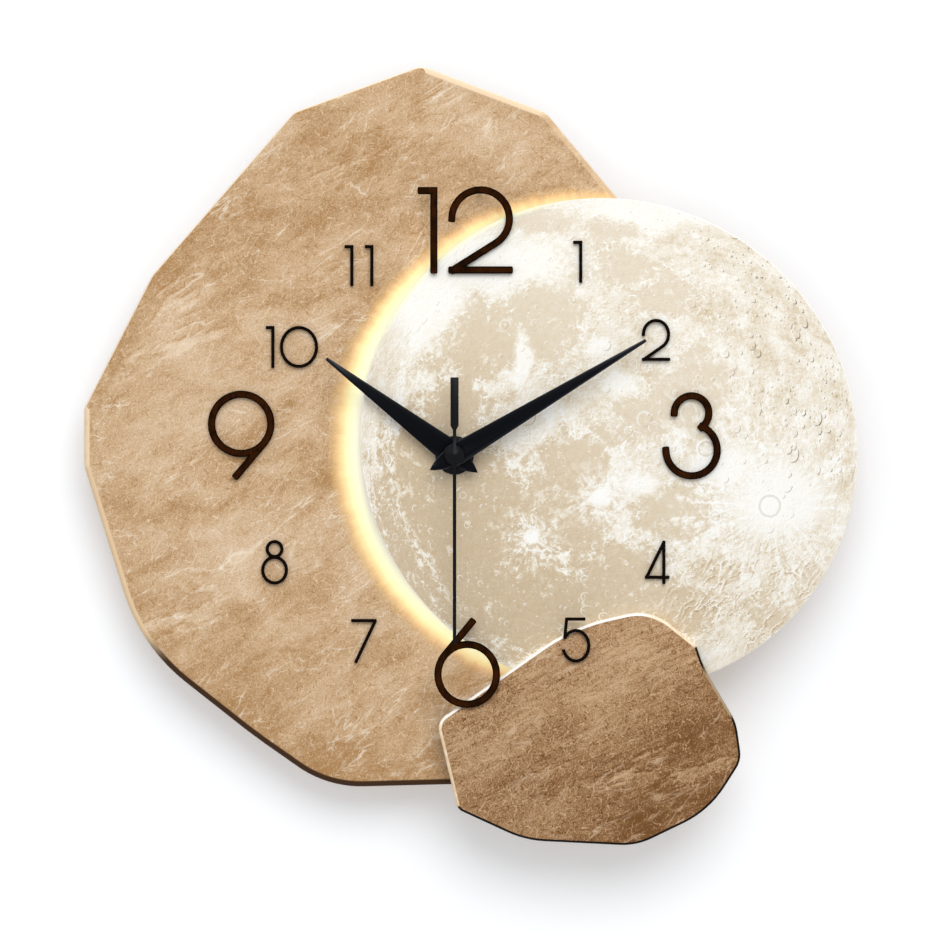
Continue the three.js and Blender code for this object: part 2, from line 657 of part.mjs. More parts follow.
// Bent steel hanger with a keyhole, and the two pads that keep the clock off the wall below.
function buildHanger() {
  const half = HANGER_WIDTH / 2;
  const tabBack = HANGER_WALL_GAP;
  const tabFront = tabBack + HANGER_THICKNESS;
  const bend = HANGER_RISE;
  const foot = prism(rectangle(-half, -HANGER_FOOT, half, bend), caseFront, hangerFront);
  const shelf = prism(rectangle(-half, bend - HANGER_THICKNESS, half, bend), tabBack, hangerFront);
  const tabCorner = half / 3;
  const tabOutline = roundedOutline([
    [-half, bend - HANGER_THICKNESS, 0.1], [half, bend - HANGER_THICKNESS, 0.1],
    [half, bend + HANGER_TAB_HEIGHT, tabCorner], [-half, bend + HANGER_TAB_HEIGHT, tabCorner],
  ]);
  const keyholeY = bend + KEYHOLE_ABOVE_BEND;
  const slotHalf = KEYHOLE_SLOT_WIDTH / 2;
  const slotTop = keyholeY + KEYHOLE_SLOT_LENGTH;
  const slot = rectangle(-slotHalf, keyholeY, slotHalf, slotTop);
  const hanger = cut(
    join(foot, shelf, prism(tabOutline, tabBack, tabFront)),
    disc(middleHole, caseFront - 1, hangerFront + 1),
    disc(KEYHOLE_RADIUS, tabBack - 1, tabFront + 1, [0, keyholeY]),
    prism(slot, tabBack - 1, tabFront + 1),
    disc(slotHalf, tabBack - 1, tabFront + 1, [0, slotTop]),
  );
  add("hanger_plate", hanger, STEEL);
  for (const [name, place] of Object.entries(WALL_PAD_PLACES)) {
    add(name, disc(WALL_PAD_RADIUS, 0, baseBack), RUBBER, place);
  }
}

// Movement case: outline and inside of the box that holds the train and the cell.
const batteryRadius = BATTERY_DIAMETER / 2;
const gearRadius = (teeth, module) => (module * teeth) / 2 + 0.8 * module;
const widestWheel = Math.max(
  gearRadius(CENTRE_TEETH, CENTRE_MODULE),
  gearRadius(HOUR_TEETH, HOUR_MODULE),
);
const partitionTop = -widestWheel - 2 * FIT;
const batteryY = partitionTop - PARTITION - FIT - batteryRadius;
const batteryZ = BATTERY_RECESS + batteryRadius;
const insideHalf = BATTERY_LENGTH / 2 + FIT + CONTACT_THICKNESS;
const insideBottom = batteryY - batteryRadius - FIT;
const insideTop = ROOF_ABOVE_ARBOR;
const circuitBack = COVER_THICKNESS + FIT;
const circuitFront = circuitBack + CIRCUIT_THICKNESS;
const circuitTop = insideTop - FIT;
const circuitBottom = circuitTop - CIRCUIT_HEIGHT;

const caseOutline = (grow, corner) =>
  rectangle(-insideHalf - grow, insideBottom - grow, insideHalf + grow, insideTop + grow, corner);

function buildCase() {
  const shell = cut(
    prism(caseOutline(CASE_WALL, CASE_CORNER), COVER_THICKNESS, caseFront),
    prism(caseOutline(0, 0), COVER_THICKNESS - 1, caseInnerFront),
    disc(middleHole, caseInnerFront - 1, caseFront + 1),
    disc(pivotHole, caseInnerFront - 1, caseInnerFront + PIVOT_DEPTH, motionPlace, PIN_SIDES),
  );
  const reach = insideHalf - CONTACT_THICKNESS - 2 * FIT;
  const partition = prism(
    rectangle(-reach, partitionTop - PARTITION, reach, partitionTop),
    COVER_THICKNESS, caseInnerFront + FRONT_PLATE / 2,
  );
  add("movement_front_case", join(shell, partition), CASE_BLACK);

  const bayHalf = insideHalf - CONTACT_THICKNESS;
  const bay = rectangle(-bayHalf, insideBottom, bayHalf, partitionTop - PARTITION);
  const pivots = [arborPlace, thirdPlace, intermediatePlace, rotorPlace].map((place) =>
    disc(pivotHole, COVER_THICKNESS - PIVOT_DEPTH, COVER_THICKNESS + 1, place, PIN_SIDES),
  );
  const cover = cut(
    prism(caseOutline(CASE_WALL, CASE_CORNER), 0, COVER_THICKNESS),
    prism(bay, -1, COVER_THICKNESS + 1),
    disc(KNOB_RADIUS + FIT, -1, COVER_THICKNESS + 1, motionPlace),
    ...pivots,
  );
  add("movement_rear_cover", cover, CASE_BLACK);

  const posts = POST_PLACES.map((place) => disc(POST_RADIUS, plateBack, caseInnerFront, place));
  const [left, right] = [POST_PLACES[0][0] - 2 * POST_RADIUS, POST_PLACES[2][0] + 1.2 * POST_RADIUS];
  const bottom = POST_PLACES[0][1] - 1.5 * POST_RADIUS;
  const top = POST_PLACES[1][1] + 1.5 * POST_RADIUS;
  const plate = prism(rectangle(left, bottom, right, top, POST_RADIUS), plateBack, plateFront);
  const bearings = [arborPlace, thirdPlace, intermediatePlace, rotorPlace, motionPlace].map((place) =>
    disc(pivotHole, plateBack - 1, plateFront + 1, place, PIN_SIDES),
  );
  add("middle_plate", cut(join(plate, ...posts), ...bearings), WHEEL_WHITE);
}

// Cell, contacts, circuit board and the single-phase motor.
function buildPower() {
  const half = BATTERY_LENGTH / 2;
  const shoulder = half - BATTERY_NUB_LENGTH;
  const cell = turned([
    [0, -half], [batteryRadius, -half], [batteryRadius, shoulder],
    [BATTERY_NUB_RADIUS, shoulder], [BATTERY_NUB_RADIUS, half], [0, half],
  ]);
  cell.rotateY(-Math.PI / 2).translate(0, batteryY, batteryZ);
  add("battery_cell", cell, CELL_GREY);

  const contact = (left, right) =>
    prism(
      rectangle(left, batteryY - CONTACT_WIDTH / 2, right, circuitTop),
      circuitBack, circuitBack + CONTACT_WIDTH,
    );
  add("contact_positive", contact(-insideHalf, CONTACT_THICKNESS - insideHalf), STEEL);
  add("contact_negative", contact(insideHalf - CONTACT_THICKNESS, insideHalf), STEEL);

  const circuitHalf = insideHalf - CONTACT_THICKNESS - FIT;
  const circuit = rectangle(-circuitHalf, circuitBottom, circuitHalf, circuitTop);
  add("circuit_board", prism(circuit, circuitBack, circuitFront), CIRCUIT_GREEN);
  const can = turned([
    [0, -QUARTZ_LENGTH / 2], [QUARTZ_RADIUS, -QUARTZ_LENGTH / 2],
    [QUARTZ_RADIUS, QUARTZ_LENGTH / 2], [0, QUARTZ_LENGTH / 2],
  ], PIN_SIDES);
  can.rotateY(Math.PI / 2);
  const canY = (circuitTop + circuitBottom) / 2;
  can.translate(-insideHalf / 2, canY, circuitFront + RUNNING_FIT + QUARTZ_RADIUS);
  add("quartz_can", can, STEEL);

  const [rotorX, rotorY] = rotorPlace;
  const magnetBack = secondsLayer + FIT;
  const magnetFront = magnetBack + ROTOR_MAGNET_THICKNESS;
  const statorBack = (magnetBack + magnetFront - STATOR_THICKNESS) / 2;
  const statorFront = statorBack + STATOR_THICKNESS;
  const coilX = insideHalf - CONTACT_THICKNESS - 2 * FIT - COIL_RADIUS;
  const armHalf = STATOR_ARM / 2;
  const bar = (left, bottom, right, top) =>
    prism(rectangle(left, bottom, right, top), statorBack, statorFront);
  const ringRadius = ROTOR_MAGNET_RADIUS + FIT + armHalf;
  const stator = cut(
    join(
      disc(ringRadius, statorBack, statorFront, rotorPlace),
      bar(rotorX, rotorY - armHalf, coilX + armHalf, rotorY + armHalf),
      bar(rotorX - armHalf, rotorY, rotorX + armHalf, circuitTop),
      bar(rotorX - armHalf, circuitTop - STATOR_ARM, coilX + armHalf, circuitTop),
    ),
    disc(ROTOR_MAGNET_RADIUS + FIT, statorBack - 1, statorFront + 1, rotorPlace),
  );
  add("stator", stator, STEEL);

  const coreFront = statorFront + CORE_THICKNESS;
  const core = rectangle(coilX - armHalf, rotorY - armHalf, coilX + armHalf, circuitTop);
  add("coil_core", prism(core, statorFront, coreFront), STEEL);
  const coilMiddle = (rotorY + armHalf + circuitTop - STATOR_ARM) / 2;
  const [windowX, windowY] = [armHalf + FIT, CORE_THICKNESS / 2 + FIT];
  const windowOutline = rectangle(-windowX, -windowY, windowX, windowY);
  const coil = cut(
    disc(COIL_RADIUS, -COIL_LENGTH / 2, COIL_LENGTH / 2),
    prism(windowOutline, -COIL_LENGTH, COIL_LENGTH),
  );
  coil.rotateX(-Math.PI / 2).translate(coilX, coilMiddle, statorFront + CORE_THICKNESS / 2);
  add("motor_coil", coil, COPPER);

  const rotor = join(
    arbor(COVER_THICKNESS - PIVOT_DEPTH + FIT / 2, plateFront - FIT),
    gear(MOTOR_PINION_TEETH, MOTOR_MODULE, motorLayer, ROTOR_DIRECTION_DEGREES + 180, true),
    disc(ROTOR_MAGNET_RADIUS, magnetBack, magnetFront),
  );
  add("rotor", rotor, STEEL, rotorPlace);
}

// Toothed wheel with straight-flanked teeth; a tooth, or else a gap, lies in the given direction.
function gear(teeth, module, back, directionDegrees, toothThere) {
  const pitch = (module * teeth) / 2;
  const step = 360 / teeth;
  const start = directionDegrees + (toothThere ? 0 : step / 2);
  const corners = [
    [pitch - 1.1 * module, -0.27], [pitch + 0.8 * module, -0.1],
    [pitch + 0.8 * module, 0.1], [pitch - 1.1 * module, 0.27],
  ];
  const outline = Array.from({ length: teeth }, (_, i) =>
    corners.map(([radius, share]) => at(...polar(radius, start + (i + share) * step))),
  ).flat();
  return prism(outline, back, back + WHEEL_THICKNESS);
}

const arbor = (back, front) => disc(ARBOR_RADIUS, back, front, arborPlace, PIN_SIDES);

function buildTrain() {
  const pivotBack = COVER_THICKNESS - PIVOT_DEPTH + FIT / 2;
  const towardsArbor = INTERMEDIATE_DIRECTION_DEGREES + 180;
  const intermediate = join(
    arbor(pivotBack, plateFront - FIT),
    gear(INTERMEDIATE_TEETH, MOTOR_MODULE, motorLayer, ROTOR_DIRECTION_DEGREES, false),
    gear(INTERMEDIATE_PINION_TEETH, SECONDS_MODULE, secondsLayer, towardsArbor, true),
  );
  add("intermediate_wheel", intermediate, WHEEL_WHITE, intermediatePlace);

  const seconds = join(
    arbor(pivotBack, secondHandFront - FIT),
    gear(SECONDS_TEETH, SECONDS_MODULE, secondsLayer, INTERMEDIATE_DIRECTION_DEGREES, false),
    gear(SECONDS_PINION_TEETH, THIRD_MODULE, thirdLayer, THIRD_DIRECTION_DEGREES, true),
  );
  add("seconds_wheel", seconds, WHEEL_WHITE);

  const third = join(
    arbor(pivotBack, centreLayer + layerStep),
    gear(THIRD_TEETH, THIRD_MODULE, thirdLayer, THIRD_DIRECTION_DEGREES + 180, false),
    gear(THIRD_PINION_TEETH, CENTRE_MODULE, centreLayer, THIRD_DIRECTION_DEGREES + 180, true),
  );
  add("third_wheel", third, WHEEL_WHITE, thirdPlace);

  const centre = join(
    disc(CENTRE_TUBE_RADIUS, centreLayer - LAYER_GAP / 2, minuteHandFront),
    gear(CENTRE_TEETH, CENTRE_MODULE, centreLayer, THIRD_DIRECTION_DEGREES, false),
    gear(CANNON_TEETH, MOTION_MODULE, motionLayer, MOTION_DIRECTION_DEGREES, true),
  );
  add("centre_wheel", cut(centre, disc(centreBore, centreLayer - 2, minuteHandFront + 2)), BRASS);

  const sleeveFront = plateBack - FIT;
  const motion = join(
    arbor(KNOB_RECESS + KNOB_THICKNESS + FIT, caseInnerFront + PIVOT_DEPTH - FIT),
    gear(MOTION_TEETH, MOTION_MODULE, motionLayer, MOTION_DIRECTION_DEGREES + 180, false),
    gear(MOTION_PINION_TEETH, HOUR_MODULE, hourLayer, MOTION_DIRECTION_DEGREES + 180, true),
  );
  add("motion_wheel", motion, WHEEL_WHITE, motionPlace);

  const ribs = Array.from({ length: 2 * KNOB_RIBS }, (_, i) =>
    at(...polar(KNOB_RADIUS - (i % 2) * FIT, (180 * i) / KNOB_RIBS)),
  );
  const knobFront = KNOB_RECESS + KNOB_THICKNESS;
  const knob = cut(
    join(
      prism(ribs, KNOB_RECESS, knobFront),
      disc(ARBOR_RADIUS + 3 * FIT, KNOB_RECESS + KNOB_THICKNESS / 2, sleeveFront),
    ),
    disc(pivotHole, knobFront, sleeveFront + 1, arborPlace, PIN_SIDES),
  );
  add("set_knob", knob, CASE_BLACK, motionPlace);

  const hour = join(
    disc(hourTubeOuter, hourLayer - LAYER_GAP / 2, hourHandFront),
    gear(HOUR_TEETH, HOUR_MODULE, hourLayer, MOTION_DIRECTION_DEGREES, false),
  );
  add("hour_wheel", cut(hour, disc(hourTubeInner, hourLayer - 2, hourHandFront + 2)), BRASS);
}

buildBoards();
buildNumerals();
buildStandOffs();
buildHands();
buildFixings();
buildHanger();
buildCase();
buildPower();
buildTrain();

// Stand the drawing up: its z, out from the wall, becomes -Y and its y becomes +Z.
clock.rotation.x = Math.PI / 2;

export default clock;
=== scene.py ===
"""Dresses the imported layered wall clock: printed boards, numerals, hands, movement, wall and light."""

import json
import logging
import math
from dataclasses import dataclass
from enum import Enum
from typing import NamedTuple, Optional, Sequence, Union

import bpy
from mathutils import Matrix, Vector


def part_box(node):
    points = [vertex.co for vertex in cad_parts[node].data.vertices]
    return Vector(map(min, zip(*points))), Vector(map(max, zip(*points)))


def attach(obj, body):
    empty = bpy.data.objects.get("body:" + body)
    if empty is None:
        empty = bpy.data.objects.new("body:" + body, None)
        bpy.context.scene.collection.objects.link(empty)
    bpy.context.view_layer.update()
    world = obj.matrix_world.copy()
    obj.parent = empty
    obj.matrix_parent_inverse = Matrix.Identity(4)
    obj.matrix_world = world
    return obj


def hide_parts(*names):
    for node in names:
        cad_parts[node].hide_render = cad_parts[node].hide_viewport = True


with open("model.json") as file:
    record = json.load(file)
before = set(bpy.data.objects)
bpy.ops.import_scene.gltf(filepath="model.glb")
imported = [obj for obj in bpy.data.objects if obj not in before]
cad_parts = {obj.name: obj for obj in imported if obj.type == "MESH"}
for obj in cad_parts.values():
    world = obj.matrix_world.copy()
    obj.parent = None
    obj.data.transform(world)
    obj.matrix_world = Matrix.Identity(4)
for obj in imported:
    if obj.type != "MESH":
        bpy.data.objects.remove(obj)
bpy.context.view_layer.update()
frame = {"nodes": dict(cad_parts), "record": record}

MM = 0.001
# These keep a divisor above 0, in shares and in metres.
TINY_SHARE = 1e-4
TINY_LENGTH = 1e-6

log = logging.getLogger("wall_clock")

Colour = tuple[float, float, float, float]
Point = tuple[float, float]
Corner = tuple[float, float, float]
Feed = Union["Wire", float, Sequence[float]]
Settings = Optional[dict[str, object]]
Feeds = Optional[dict[Union[str, int], Feed]]


def srgb(red: int, green: int, blue: int) -> Colour:
    """Turns a screen colour into a linear one.

    Args:
        red: red from 0 to 255.
        green: green from 0 to 255.
        blue: blue from 0 to 255.

    Returns:
        The linear colour with full alpha.
    """
    shares = [channel / 255 for channel in (red, green, blue)]
    linear = [s / 12.92 if s <= 0.04045 else ((s + 0.055) / 1.055) ** 2.4 for s in shares]
    return (linear[0], linear[1], linear[2], 1.0)


class Gloss(Enum):
    """Roughness of the finishes, from dull to bright."""

    RAW = 0.86
    MATT = 0.7
    SATIN = 0.48
    PLATED = 0.3


class Wire:
    """A shader output that can stand in Python sums: each operator adds its Math node."""

    def __init__(self, sheet: "NodeSheet", socket: Optional[bpy.types.NodeSocket]) -> None:
        """Keeps the sheet and the socket."""
        self.sheet = sheet
        self.socket = socket

    def math(self, operation: str, first: Feed, second: Feed = 0.0) -> "Wire":
        """Adds a Math node.

        Args:
            operation: the node's operation.
            first: first value.
            second: second value.

        Returns:
            The node's output.
        """
        return self.sheet.node("ShaderNodeMath", {"operation": operation}, {0: first, 1: second})

    def __add__(self, other: Feed) -> "Wire":
        """Sum."""
        return self.math("ADD", self, other)

    def __radd__(self, other: Feed) -> "Wire":
        """Sum with a number before it."""
        return self.math("ADD", other, self)

    def __sub__(self, other: Feed) -> "Wire":
        """Difference."""
        return self.math("SUBTRACT", self, other)

    def __rsub__(self, other: Feed) -> "Wire":
        """Difference from a number."""
        return self.math("SUBTRACT", other, self)

    def __mul__(self, other: Feed) -> "Wire":
        """Product."""
        return self.math("MULTIPLY", self, other)

    def __rmul__(self, other: Feed) -> "Wire":
        """Product with a number before it."""
        return self.math("MULTIPLY", other, self)

    def __truediv__(self, other: Feed) -> "Wire":
        """Quotient."""
        return self.math("DIVIDE", self, other)

    def __rtruediv__(self, other: Feed) -> "Wire":
        """Quotient of a number."""
        return self.math("DIVIDE", other, self)

    def __pow__(self, other: Feed) -> "Wire":
        """Power."""
        return self.math("POWER", self, other)

    def __abs__(self) -> "Wire":
        """Size without sign."""
        return self.math("ABSOLUTE", self)


@dataclass(frozen=True)
class Spot:
    """A patch: its middle and its half width and half height."""

    u: float
    v: float
    width: float
    height: float


class RayCrater(NamedTuple):
    """A young crater: its middle, the reach of its rays, its bright core and the rays' strength."""

    u: float
    v: float
    reach: float
    core: float
    strength: float = 0.5


class FibreLayer(NamedTuple):
    """One layer of short fibres: cells to a metre, how light they are, and their direction."""

    scale: float
    lightness: float
    degrees: float


class VeinLayer(NamedTuple):
    """One layer of veins: its own random place, features to a metre, width and added turn."""

    seed: float
    scale: float
    width: float
    degrees: float


class HillLayer(NamedTuple):
    """One size of hills: features to a radius, the step towards the light, and strength."""

    scale: float
    lift: float
    strength: float


class CraterLayer(NamedTuple):
    """One size of ring craters: cells to a radius, how rare they are, and the ring's width."""

    scale: float
    rarity: float
    width: float


class NodeSheet:
    """The nodes of one material, or of the sky."""

    def __init__(self, name: str, world: Optional[bpy.types.World] = None) -> None:
        """Starts an empty material of that name, or empties the world that is given."""
        self.owner: Union[bpy.types.Material, bpy.types.World] = world or bpy.data.materials.new(name)
        self.owner.use_nodes = True
        self.tree = self.owner.node_tree
        self.tree.nodes.clear()

    def node(self, kind: str, settings: Settings = None, feeds: Feeds = None,
             output: Union[str, int] = 0) -> Wire:
        """Adds one node.

        Args:
            kind: the node's type.
            settings: its properties, set first; "stops" fills a colour ramp.
            feeds: values or wires for its sockets, by name or place.
            output: the output that is wanted.

        Returns:
            That output.
        """
        made = self.tree.nodes.new(kind)
        for key, value in (settings or {}).items():
            if key == "stops":
                self._fill(made.color_ramp, value)
            else:
                setattr(made, key, value)
        for key, value in (feeds or {}).items():
            if isinstance(value, Wire):
                self.tree.links.new(value.socket, made.inputs[key])
            else:
                made.inputs[key].default_value = value
        return Wire(self, made.outputs[output] if len(made.outputs) else None)

    @staticmethod
    def _fill(ramp: bpy.types.ColorRamp, stops: Sequence[tuple[float, Colour]]) -> None:
        """Sets a ramp's stops from places and colours."""
        while len(ramp.elements) < len(stops):
            ramp.elements.new(1.0)
        for element, (place, colour) in zip(ramp.elements, stops):
            element.position = place
            element.color = colour

    def seen(self) -> Wire:
        """1 for a ray that the camera sees straight, in a mirror or through glass, and 0 for light."""
        camera, glossy, clear = [self.node("ShaderNodeLightPath", output=name)
                                 for name in ("Is Camera Ray", "Is Glossy Ray", "Is Transmission Ray")]
        total = camera + glossy + clear
        return total.math("MINIMUM", total, 1.0)

    def place(self) -> Wire:
        """The point on the piece, in metres."""
        return self.node("ShaderNodeTexCoord", output="Object")

    def split(self, vector: Wire) -> tuple[Wire, Wire, Wire]:
        """The three parts of a vector."""
        outputs = self.node("ShaderNodeSeparateXYZ", None, {0: vector}).socket.node.outputs
        return Wire(self, outputs[0]), Wire(self, outputs[1]), Wire(self, outputs[2])

    def facing(self) -> tuple[Wire, Wire, Wire]:
        """The surface direction in the piece's own frame."""
        return self.split(self.node("ShaderNodeTexCoord", output="Normal"))

    def vector(self, x: Feed, y: Feed, z: Feed) -> Wire:
        """A vector from three parts."""
        return self.node("ShaderNodeCombineXYZ", None, {0: x, 1: y, 2: z})

    def turned(self, x: Wire, z: Wire, degrees: float) -> tuple[Wire, Wire]:
        """Distances along and across a direction on the dial.

        Args:
            x: the point's x.
            z: the point's height.
            degrees: how steeply the direction rises to the right.

        Returns:
            The distance along it and the distance across it.
        """
        turn = math.radians(degrees)
        return x * math.cos(turn) + z * math.sin(turn), z * math.cos(turn) - x * math.sin(turn)

    def noise(self, at: Wire, scale: float, detail: float = 2.0, roughness: float = 0.5,
              distortion: float = 0.0) -> Wire:
        """Soft random values from 0 to 1.

        Args:
            at: where to read the pattern.
            scale: features to a metre, or to the unit of the vector.
            detail: number of finer layers.
            roughness: strength of the finer layers.
            distortion: how far the pattern is stirred.

        Returns:
            The value.
        """
        feeds = {"Vector": at, "Scale": scale, "Detail": detail, "Roughness": roughness,
                 "Distortion": distortion}
        return self.node("ShaderNodeTexNoise", None, feeds)

    def cells(self, at: Wire, scale: float, output: str = "Distance", feature: str = "F1") -> Wire:
        """Flat random cells: the distance to the nearest centre or edge, its colour or its place."""
        return self.node("ShaderNodeTexVoronoi", {"voronoi_dimensions": "2D", "feature": feature},
                         {"Vector": at, "Scale": scale}, output)

    def lines(self, at: Wire, scale: float, width: float) -> Wire:
        """Thin lines along the edges of flat random cells; the width is a share of a cell."""
        return self.ease(self.cells(at, scale, feature="DISTANCE_TO_EDGE"), width, 0.0)

    def nearest(self, at: Wire, spots: Sequence[Spot]) -> Wire:
        """The least distance to any of the patches, where 1 is a patch's rim.

        Args:
            at: the point, in the patches' own unit.
            spots: the patches.

        Returns:
            The distance.
        """
        least: Optional[Wire] = None
        for spot in spots:
            scale = (1 / spot.width, 1 / spot.height, 0.0)
            shift = (-spot.u / spot.width, -spot.v / spot.height, 0.0)
            moved = self.node("ShaderNodeVectorMath", {"operation": "MULTIPLY_ADD"},
                              {0: at, 1: scale, 2: shift})
            far = self.node("ShaderNodeVectorMath", {"operation": "LENGTH"}, {0: moved}, "Value")
            least = far if least is None else far.math("MINIMUM", far, least)
        return least

    def ease(self, value: Feed, low: float, high: float) -> Wire:
        """A smooth step from 0 at low to 1 at high."""
        return self.node("ShaderNodeMapRange", {"interpolation_type": "SMOOTHSTEP"},
                         {"Value": value, "From Min": low, "From Max": high})

    def mix(self, share: Feed, first: Feed, second: Feed, mode: str = "MIX") -> Wire:
        """Two colours in a share, which may vary."""
        settings = {"data_type": "RGBA", "blend_type": mode, "clamp_factor": True}
        return self.node("ShaderNodeMix", settings, {0: share, 6: first, 7: second}, 2)

    def ramp(self, value: Wire, stops: Sequence[tuple[float, Colour]]) -> Wire:
        """A colour read from a ramp."""
        return self.node("ShaderNodeValToRGB", {"stops": stops}, {0: value})

    def bump(self, height: Wire, depth: float, strength: float = 1.0) -> Wire:
        """A surface direction stirred by a height.

        Args:
            height: the height from 0 to 1.
            depth: how deep the full height is, in metres.
            strength: how much of it is used.

        Returns:
            The direction.
        """
        return self.node("ShaderNodeBump", None,
                         {"Strength": strength, "Distance": depth, "Height": height})

    def finish(self, feeds: Feeds) -> bpy.types.Material:
        """Ends the sheet in a Principled surface.

        Args:
            feeds: the surface's values and wires, by socket name.

        Returns:
            The material.
        """
        surface = self.node("ShaderNodeBsdfPrincipled", None, feeds)
        self.node("ShaderNodeOutputMaterial", None, {"Surface": surface})
        return self.owner


@dataclass(frozen=True)
class MoonShape:
    """Place and size of the moon disc, in millimetres."""

    x: float = 79.6
    z: float = 5.4
    long_radius: float = 129.8
    short_radius: float = 125.4
    tilt_degrees: float = -37.0

    @property
    def mean_radius(self) -> float:
        """Radius of the circle of about the same size."""
        return (self.long_radius + self.short_radius) / 2

    def outline(self, count: int) -> list[Point]:
        """The rim as points in millimetres, anticlockwise from the front."""
        turn = math.radians(self.tilt_degrees)
        points = []
        for step in range(count):
            angle = 2 * math.pi * step / count
            along, across = self.long_radius * math.cos(angle), self.short_radius * math.sin(angle)
            points.append((self.x + along * math.cos(turn) - across * math.sin(turn),
                           self.z + along * math.sin(turn) + across * math.cos(turn)))
        return points

    def beyond(self, x: Wire, z: Wire) -> tuple[Wire, Wire, Wire]:
        """How far a point lies outside the rim.

        Args:
            x: the point's x in metres.
            z: the point's height in metres.

        Returns:
            The distance in metres, and the direction from the middle, to the right and up.
        """
        turn = math.radians(self.tilt_degrees)
        right, up = x - self.x * MM, z - self.z * MM
        along = (right * math.cos(turn) + up * math.sin(turn)) / (self.long_radius * MM)
        across = (up * math.cos(turn) - right * math.sin(turn)) / (self.short_radius * MM)
        share = (along * along + across * across) ** 0.5
        reach = (right * right + up * up) ** 0.5
        outside = (share - 1.0) * (self.mean_radius * MM)
        return outside, right / (reach + TINY_LENGTH), up / (reach + TINY_LENGTH)


@dataclass(frozen=True)
class PaintedRimShading:
    """Colours of a board's eased rim, set by which way it faces: a cream to tan edge with a painted
    highlight (white) above and to the left and painted shade (dark) below and to the right.
    """

    # white is a painted highlight and dark a painted shade; cream and tan are the edge's colour, also
    # lighter where the rim faces up and to the left.
    white: Colour = srgb(255, 252, 246)
    cream: Colour = srgb(253, 237, 210)
    tan: Colour = srgb(236, 209, 172)
    dark: Colour = srgb(62, 42, 27)
    upper_cut: float = 0.25
    lower_cut: float = 0.0
    dark_from: float = 0.12
    right_share: float = 0.0
    lit_up: float = 0.87
    lit_left: float = 0.5

    def over(self, sheet: NodeSheet, face: Wire) -> Wire:
        """Lays the painted highlight and shade on the rim and raw board on the back.

        Args:
            sheet: the material's nodes.
            face: colour of the front face.

        Returns:
            The colour all round the board.
        """
        nx, ny, nz = sheet.facing()
        reach = (nx * nx + nz * nz) ** 0.5 + TINY_SHARE
        # lit: how far the rim faces up and to the left; the painted highlight goes where it is high and the
        # painted shade where it is low.
        lit = (nz * self.lit_up - nx * self.lit_left) / reach
        upper = sheet.ease(lit, 0.66, 0.84)
        lower = sheet.ease(lit, self.dark_from, self.dark_from - 0.24)
        mottle = (sheet.noise(sheet.place(), 160.0, 4.0, 0.7) - 0.5) * 1.2
        rim_shading = sheet.mix(sheet.ease(lit + mottle, 0.2, 0.5), self.tan, self.cream)
        rim_shading = sheet.mix(upper, rim_shading, self.white)
        rim_shading = sheet.mix(sheet.ease(nx / reach, 0.3, 0.75) * self.right_share, rim_shading, face)
        rim_shading = sheet.mix(lower, rim_shading, self.dark)
        start = upper * self.upper_cut + lower * self.lower_cut - 0.996
        colour = sheet.mix(sheet.ease(ny - start, 0.0, 0.04), face, rim_shading)
        return RawBoard().behind(sheet, ny, colour)


@dataclass(frozen=True)
class RawBoard:
    """Unpainted fibre board: fine felted fibres and darker specks."""

    name: str = "raw_board"
    light: Colour = srgb(164, 130, 92)
    dark: Colour = srgb(126, 94, 62)

    def colour(self, sheet: NodeSheet) -> Wire:
        """The board's colour."""
        at = sheet.place()
        felt = sheet.noise(at, 700.0, 5.0, 0.7, 1.5)
        cloud = sheet.noise(at, 35.0, 3.0, 0.5)
        return sheet.mix(sheet.ease(felt * 0.7 + cloud * 0.3, 0.3, 0.7), self.dark, self.light)

    def behind(self, sheet: NodeSheet, wallward: Wire, front: Wire) -> Wire:
        """Lays raw board on the back of a finished board.

        Args:
            sheet: the material's nodes.
            wallward: how squarely the surface faces the wall, from -1 to 1.
            front: colour of the rest of the board.

        Returns:
            The colour all round the board.
        """
        return sheet.mix(sheet.ease(wallward, 0.4, 0.7), front, self.colour(sheet))

    def material(self) -> bpy.types.Material:
        """The finish by itself, for blocks and pins."""
        sheet = NodeSheet(self.name)
        felt = sheet.noise(sheet.place(), 900.0, 4.0, 0.7)
        return sheet.finish({"Base Color": self.colour(sheet), "Roughness": Gloss.RAW.value,
                             "Specular IOR Level": 0.2, "Normal": sheet.bump(felt, 0.0001, 0.5)})


